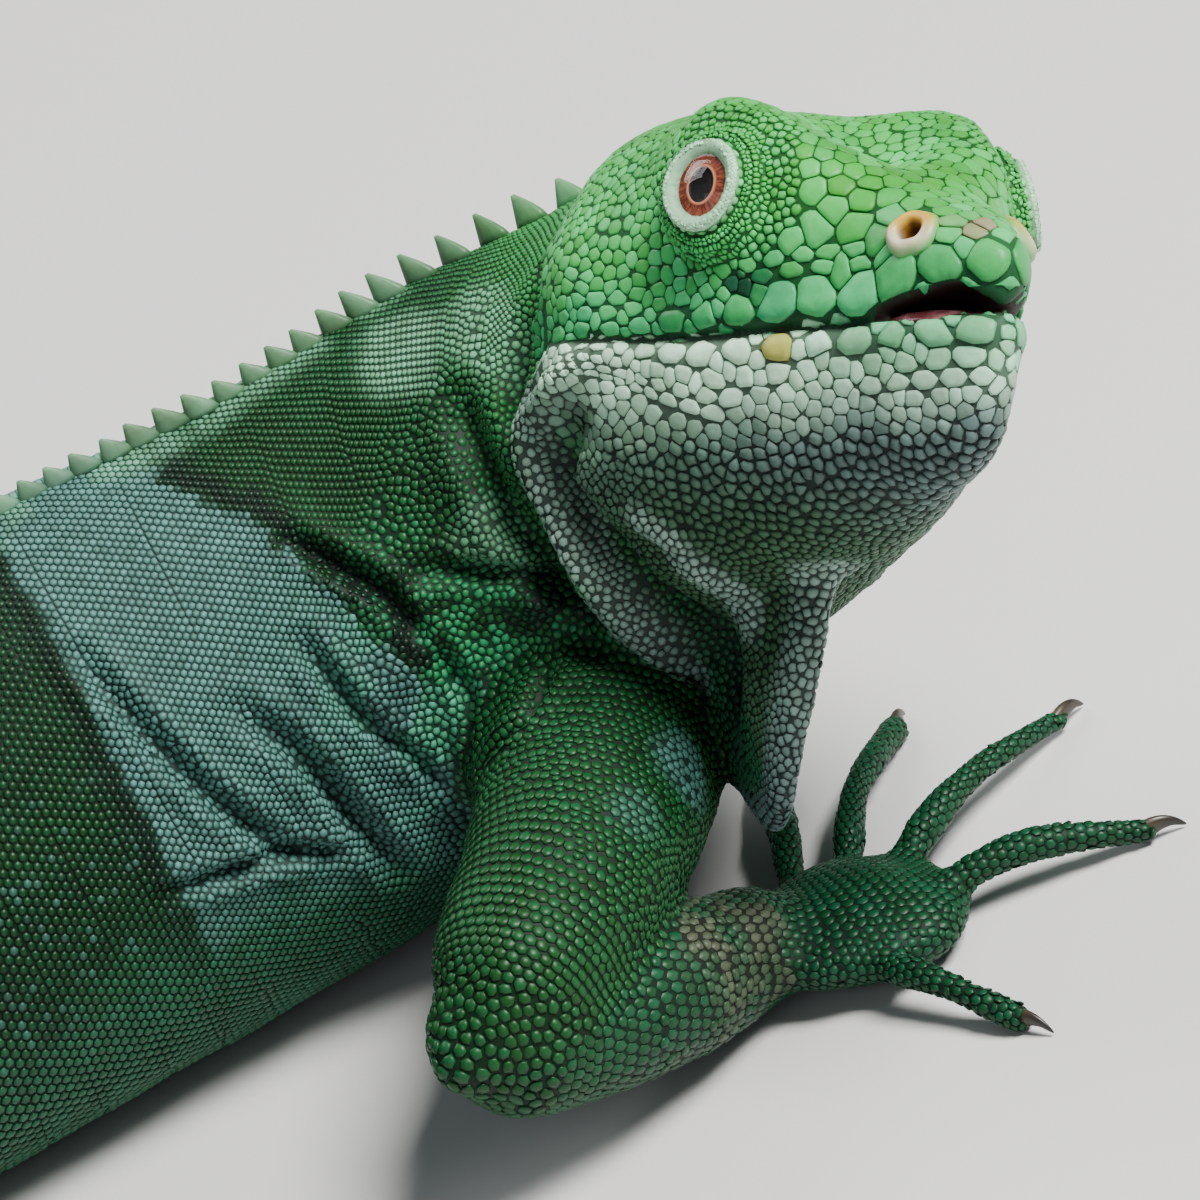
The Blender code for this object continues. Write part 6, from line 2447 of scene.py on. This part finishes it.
@dataclass
class Muzzle:
    """The nostrils' raised rims and the tongue between the parted lips."""

    head: Head
    stage: Stage
    markings: Markings
    around: int = 36
    # dark floor closing each nostril's hole: painted shade of the deep opening
    pit_shade: tuple = (0.10, 0.035, 0.010)
    section: tuple = ((1.54, -0.60), (1.50, -0.10), (1.36, 0.22), (1.14, 0.43), (0.90, 0.48),
                      (0.72, 0.36), (0.58, 0.08), (0.50, -0.35), (0.42, -0.70), (0.08, -0.80),
                      (0.08, -0.98), (1.40, -0.98))

    def nostril(self, sign: int) -> Array:
        """A low mound with a hole, as sections from its skirt over the crest down into the hole; the hole's
        shallow floor carries painted shade.
        """
        aim = unit(np.array(self.head.nostril_aim) * (1, sign, 1))
        across = unit(np.cross(aim, [0.3, 0.0, 1.0]))
        other = np.cross(aim, across)
        centre = np.array(self.head.nostril_at) * (1, sign, 1) + aim * 0.62
        rings = []
        for angle in round_angles(self.around):
            spoke = across * math.cos(angle) + other * math.sin(angle)
            uneven = 1.0 + 0.07 * math.sin(2 * angle + 0.7) + 0.03 * math.sin(5 * angle)
            swell = 1.0 + 0.25 * math.sin(angle + 1.0)
            rings.append([centre + spoke * reach * uneven + aim * height * (swell if height > 0 else 1.0)
                          for reach, height in self.section])
        return np.array(rings)

    def add_nostrils(self) -> bpy.types.Object:
        """Both mounds in one piece."""
        around, steps = self.around, len(self.section)
        points, faces, colour = [], [], []
        for side_number, sign in enumerate((1, -1)):
            rings = self.nostril(sign)
            flat = rings.reshape(-1, 3)
            start = side_number * len(flat)
            for k in range(around):
                for j in range(steps):
                    a, b = k * steps + j, k * steps + (j + 1) % steps
                    c, d = ((k + 1) % around) * steps + (j + 1) % steps, ((k + 1) % around) * steps + j
                    face = (a, b, c, d) if sign < 0 else (a, d, c, b)
                    faces.append(tuple(start + v for v in face))
            height = np.repeat(rings.mean(1)[:, 2], steps)
            share = (height - height.min()) / np.ptp(height)
            inner = np.tile([step(0.74, 0.50, np.array(reach)) for reach, _ in self.section], around)
            tint = self.markings.mix(self.markings.plain(self.markings.cream, flat), self.markings.yellow,
                                     step(0.25, 0.85, share))
            skirt = np.tile([step(1.20, 1.50, np.array(reach)) for reach, _ in self.section], around)
            tint = self.markings.mix(tint, self.markings.bright, skirt * 0.85)
            # painted shade: the inner sections, down the hole and over its floor, turn dark brown
            colour.append(self.markings.mix(tint, self.pit_shade, inner) * 0.85)
            points.append(self.head.world(flat))
        points = np.concatenate(points)
        piece = self.stage.add_mesh("nostril_rims", points, faces)
        store_hide(piece.data, np.concatenate(colour), np.ones(len(points)), lattice_noise(points / 0.5, 3))
        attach(piece, "root")
        return piece

    def add_tongue(self) -> bpy.types.Object:
        """A low rounded tongue behind the lower lip."""
        along = np.linspace(-1.0, 1.0, 22)
        reach = np.sqrt(np.clip(1.0 - along ** 2, 0.0004, 1.0))
        angle = round_angles(24)
        centre = np.array([25.4, 0.0, 2.75])
        rings = [centre + np.stack([np.full(24, 4.3 * a), 3.4 * r * np.cos(angle), 0.75 * r * np.sin(angle)
                                    + 0.12 * np.sin(5 * angle + 4 * a)], -1) for a, r in zip(along, reach)]
        vertices, faces = Skin.outward(*rings_to_mesh(self.head.world(np.array(rings))))
        piece = self.stage.add_mesh("tongue", vertices, faces)
        piece.data.materials.append(FleshFinish().material())
        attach(piece, "root")
        return piece


# ------------------------------------------------------------------ studio
@dataclass
class Studio:
    """A pale floor, soft light and the camera."""

    stage: Stage
    target: tuple = (1.545, -7.091, 16.155)
    azimuth: float = -12.0
    elevation: float = 30.0
    roll: float = 20.5
    distance: float = 700.0
    lens: float = 388.5

    def add_camera(self) -> bpy.types.Object:
        """The camera, turned round its own line of sight by the roll."""
        a, e = math.radians(self.azimuth), math.radians(self.elevation)
        back = np.array([math.sin(a) * math.cos(e), -math.cos(a) * math.cos(e), math.sin(e)])
        camera = bpy.data.cameras.new("camera")
        camera.lens = self.lens
        camera.clip_start, camera.clip_end = 0.01, 20.0
        made = bpy.data.objects.new("camera", camera)
        made.rotation_mode = "QUATERNION"
        turn = Vector(-back).to_track_quat("-Z", "Y")
        made.rotation_quaternion = turn @ Matrix.Rotation(math.radians(-self.roll), 3, "Z").to_quaternion()
        made.location = self.stage.metres(np.array(self.target) + back * self.distance)
        bpy.context.scene.collection.objects.link(made)
        bpy.context.scene.camera = made
        return made

    def add_light(self, name: str, place: tuple, size: float, power: float, colour: tuple) -> None:
        """One soft square lamp that shines at the animal; place is in millimetres."""
        lamp = bpy.data.lights.new(name, "AREA")
        lamp.size, lamp.energy, lamp.color = size * MM, power, colour
        made = bpy.data.objects.new(name, lamp)
        made.location = self.stage.metres(np.array(place))
        made.rotation_mode = "QUATERNION"
        look = Vector(np.array(self.target) - np.array(place))
        made.rotation_quaternion = look.to_track_quat("-Z", "Y")
        bpy.context.scene.collection.objects.link(made)

    def add_floor(self) -> bpy.types.Object:
        """A wide plain floor."""
        bpy.ops.object.select_all(action="DESELECT")
        bpy.ops.mesh.primitive_plane_add(size=12.0)
        floor = bpy.context.active_object
        floor.name = "floor"
        material, bench, shader = new_material("pale_floor")
        bench.dress(shader, {"Base Color": (0.62, 0.62, 0.61), "Roughness": 0.75})
        floor.data.materials.append(material)
        return floor

    def build(self) -> None:
        """Floor, lamps, sky light and camera."""
        self.add_floor()
        self.add_light("key", (300, -260, 600), 280, 13.0, (1.0, 0.98, 0.95))
        self.add_light("fill", (-420, -500, 300), 500, 0.7, (0.92, 0.96, 1.0))
        self.add_light("rim", (-200, 500, 500), 400, 3.0, (1.0, 1.0, 1.0))
        world = bpy.data.worlds.new("studio")
        world.use_nodes = True
        sky = world.node_tree.nodes["Background"]
        sky.inputs["Color"].default_value = (0.85, 0.9, 1.0, 1.0)
        sky.inputs["Strength"].default_value = 0.14
        bpy.context.scene.world = world
        self.add_camera()


def main() -> None:
    """Builds the animal, dresses it and sets the scene."""
    logging.basicConfig(level=logging.INFO, format="%(name)s: %(message)s")
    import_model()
    body = Body()
    stage = Stage(body)
    LOG.info("shift %s", stage.shift)
    skin = Skin(body, stage).build()
    LOG.info("skin %d vertices", len(skin.data.vertices))
    markings = Markings(body)
    # the third number darkens each scale towards its rim: painted shade in the grooves between scales
    scale_hide = HideFinish("scale_hide", 1.06, 0.46, 0.60, coat=0.08).material()
    for piece in Coat(body, stage, markings, skin).build():
        piece.data.materials.append(scale_hide)
        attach(piece, "root")
        LOG.info("%s %d triangles", piece.name, triangles(piece))
    finishes = IrisFinish().material(), CorneaFinish().material()
    for sign in (1, -1):
        LOG.info("eye: %s", [piece.name for piece in Eye(body.head, stage, sign).build(*finishes)])
    horn = ClawFinish().material()
    for limb in body.limbs:
        claws = Claws(limb, stage).build()
        claws.data.materials.append(horn)
        LOG.info("%s", claws.name)
    crest = Crest(body, stage, markings).build()
    crest.data.materials.append(scale_hide)
    LOG.info("%s", crest.name)
    muzzle = Muzzle(body.head, stage, markings)
    rims = muzzle.add_nostrils()
    rims.data.materials.append(HideFinish("nostril_hide", 1.0, 0.38, 0.0, coat=0.2, grain=0.2).material())
    LOG.info("%s, %s", rims.name, muzzle.add_tongue().name)
    apply_modifier(skin, "DECIMATE", ratio=min(1.0, SKIN_TRIANGLES / triangles(skin)))
    points = mesh_points(skin.data) / MM - stage.shift
    store_hide(skin.data, markings.paint(points, bare=True), np.ones(len(points)), np.full(len(points), 0.5))
    skin.data.materials.clear()
    skin.data.materials.append(HideFinish("skin_hide", 0.17, 0.6, 0.0).material())
    LOG.info("skin %d triangles", triangles(skin))
    nodes = [o.name for o in bpy.context.scene.objects if "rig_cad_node" in o]
    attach(skin, "root")
    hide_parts(*[n for n in nodes if "claw" not in n and not n.startswith("eye")])
    Studio(stage).build()


if __name__ == "__main__":
    main()
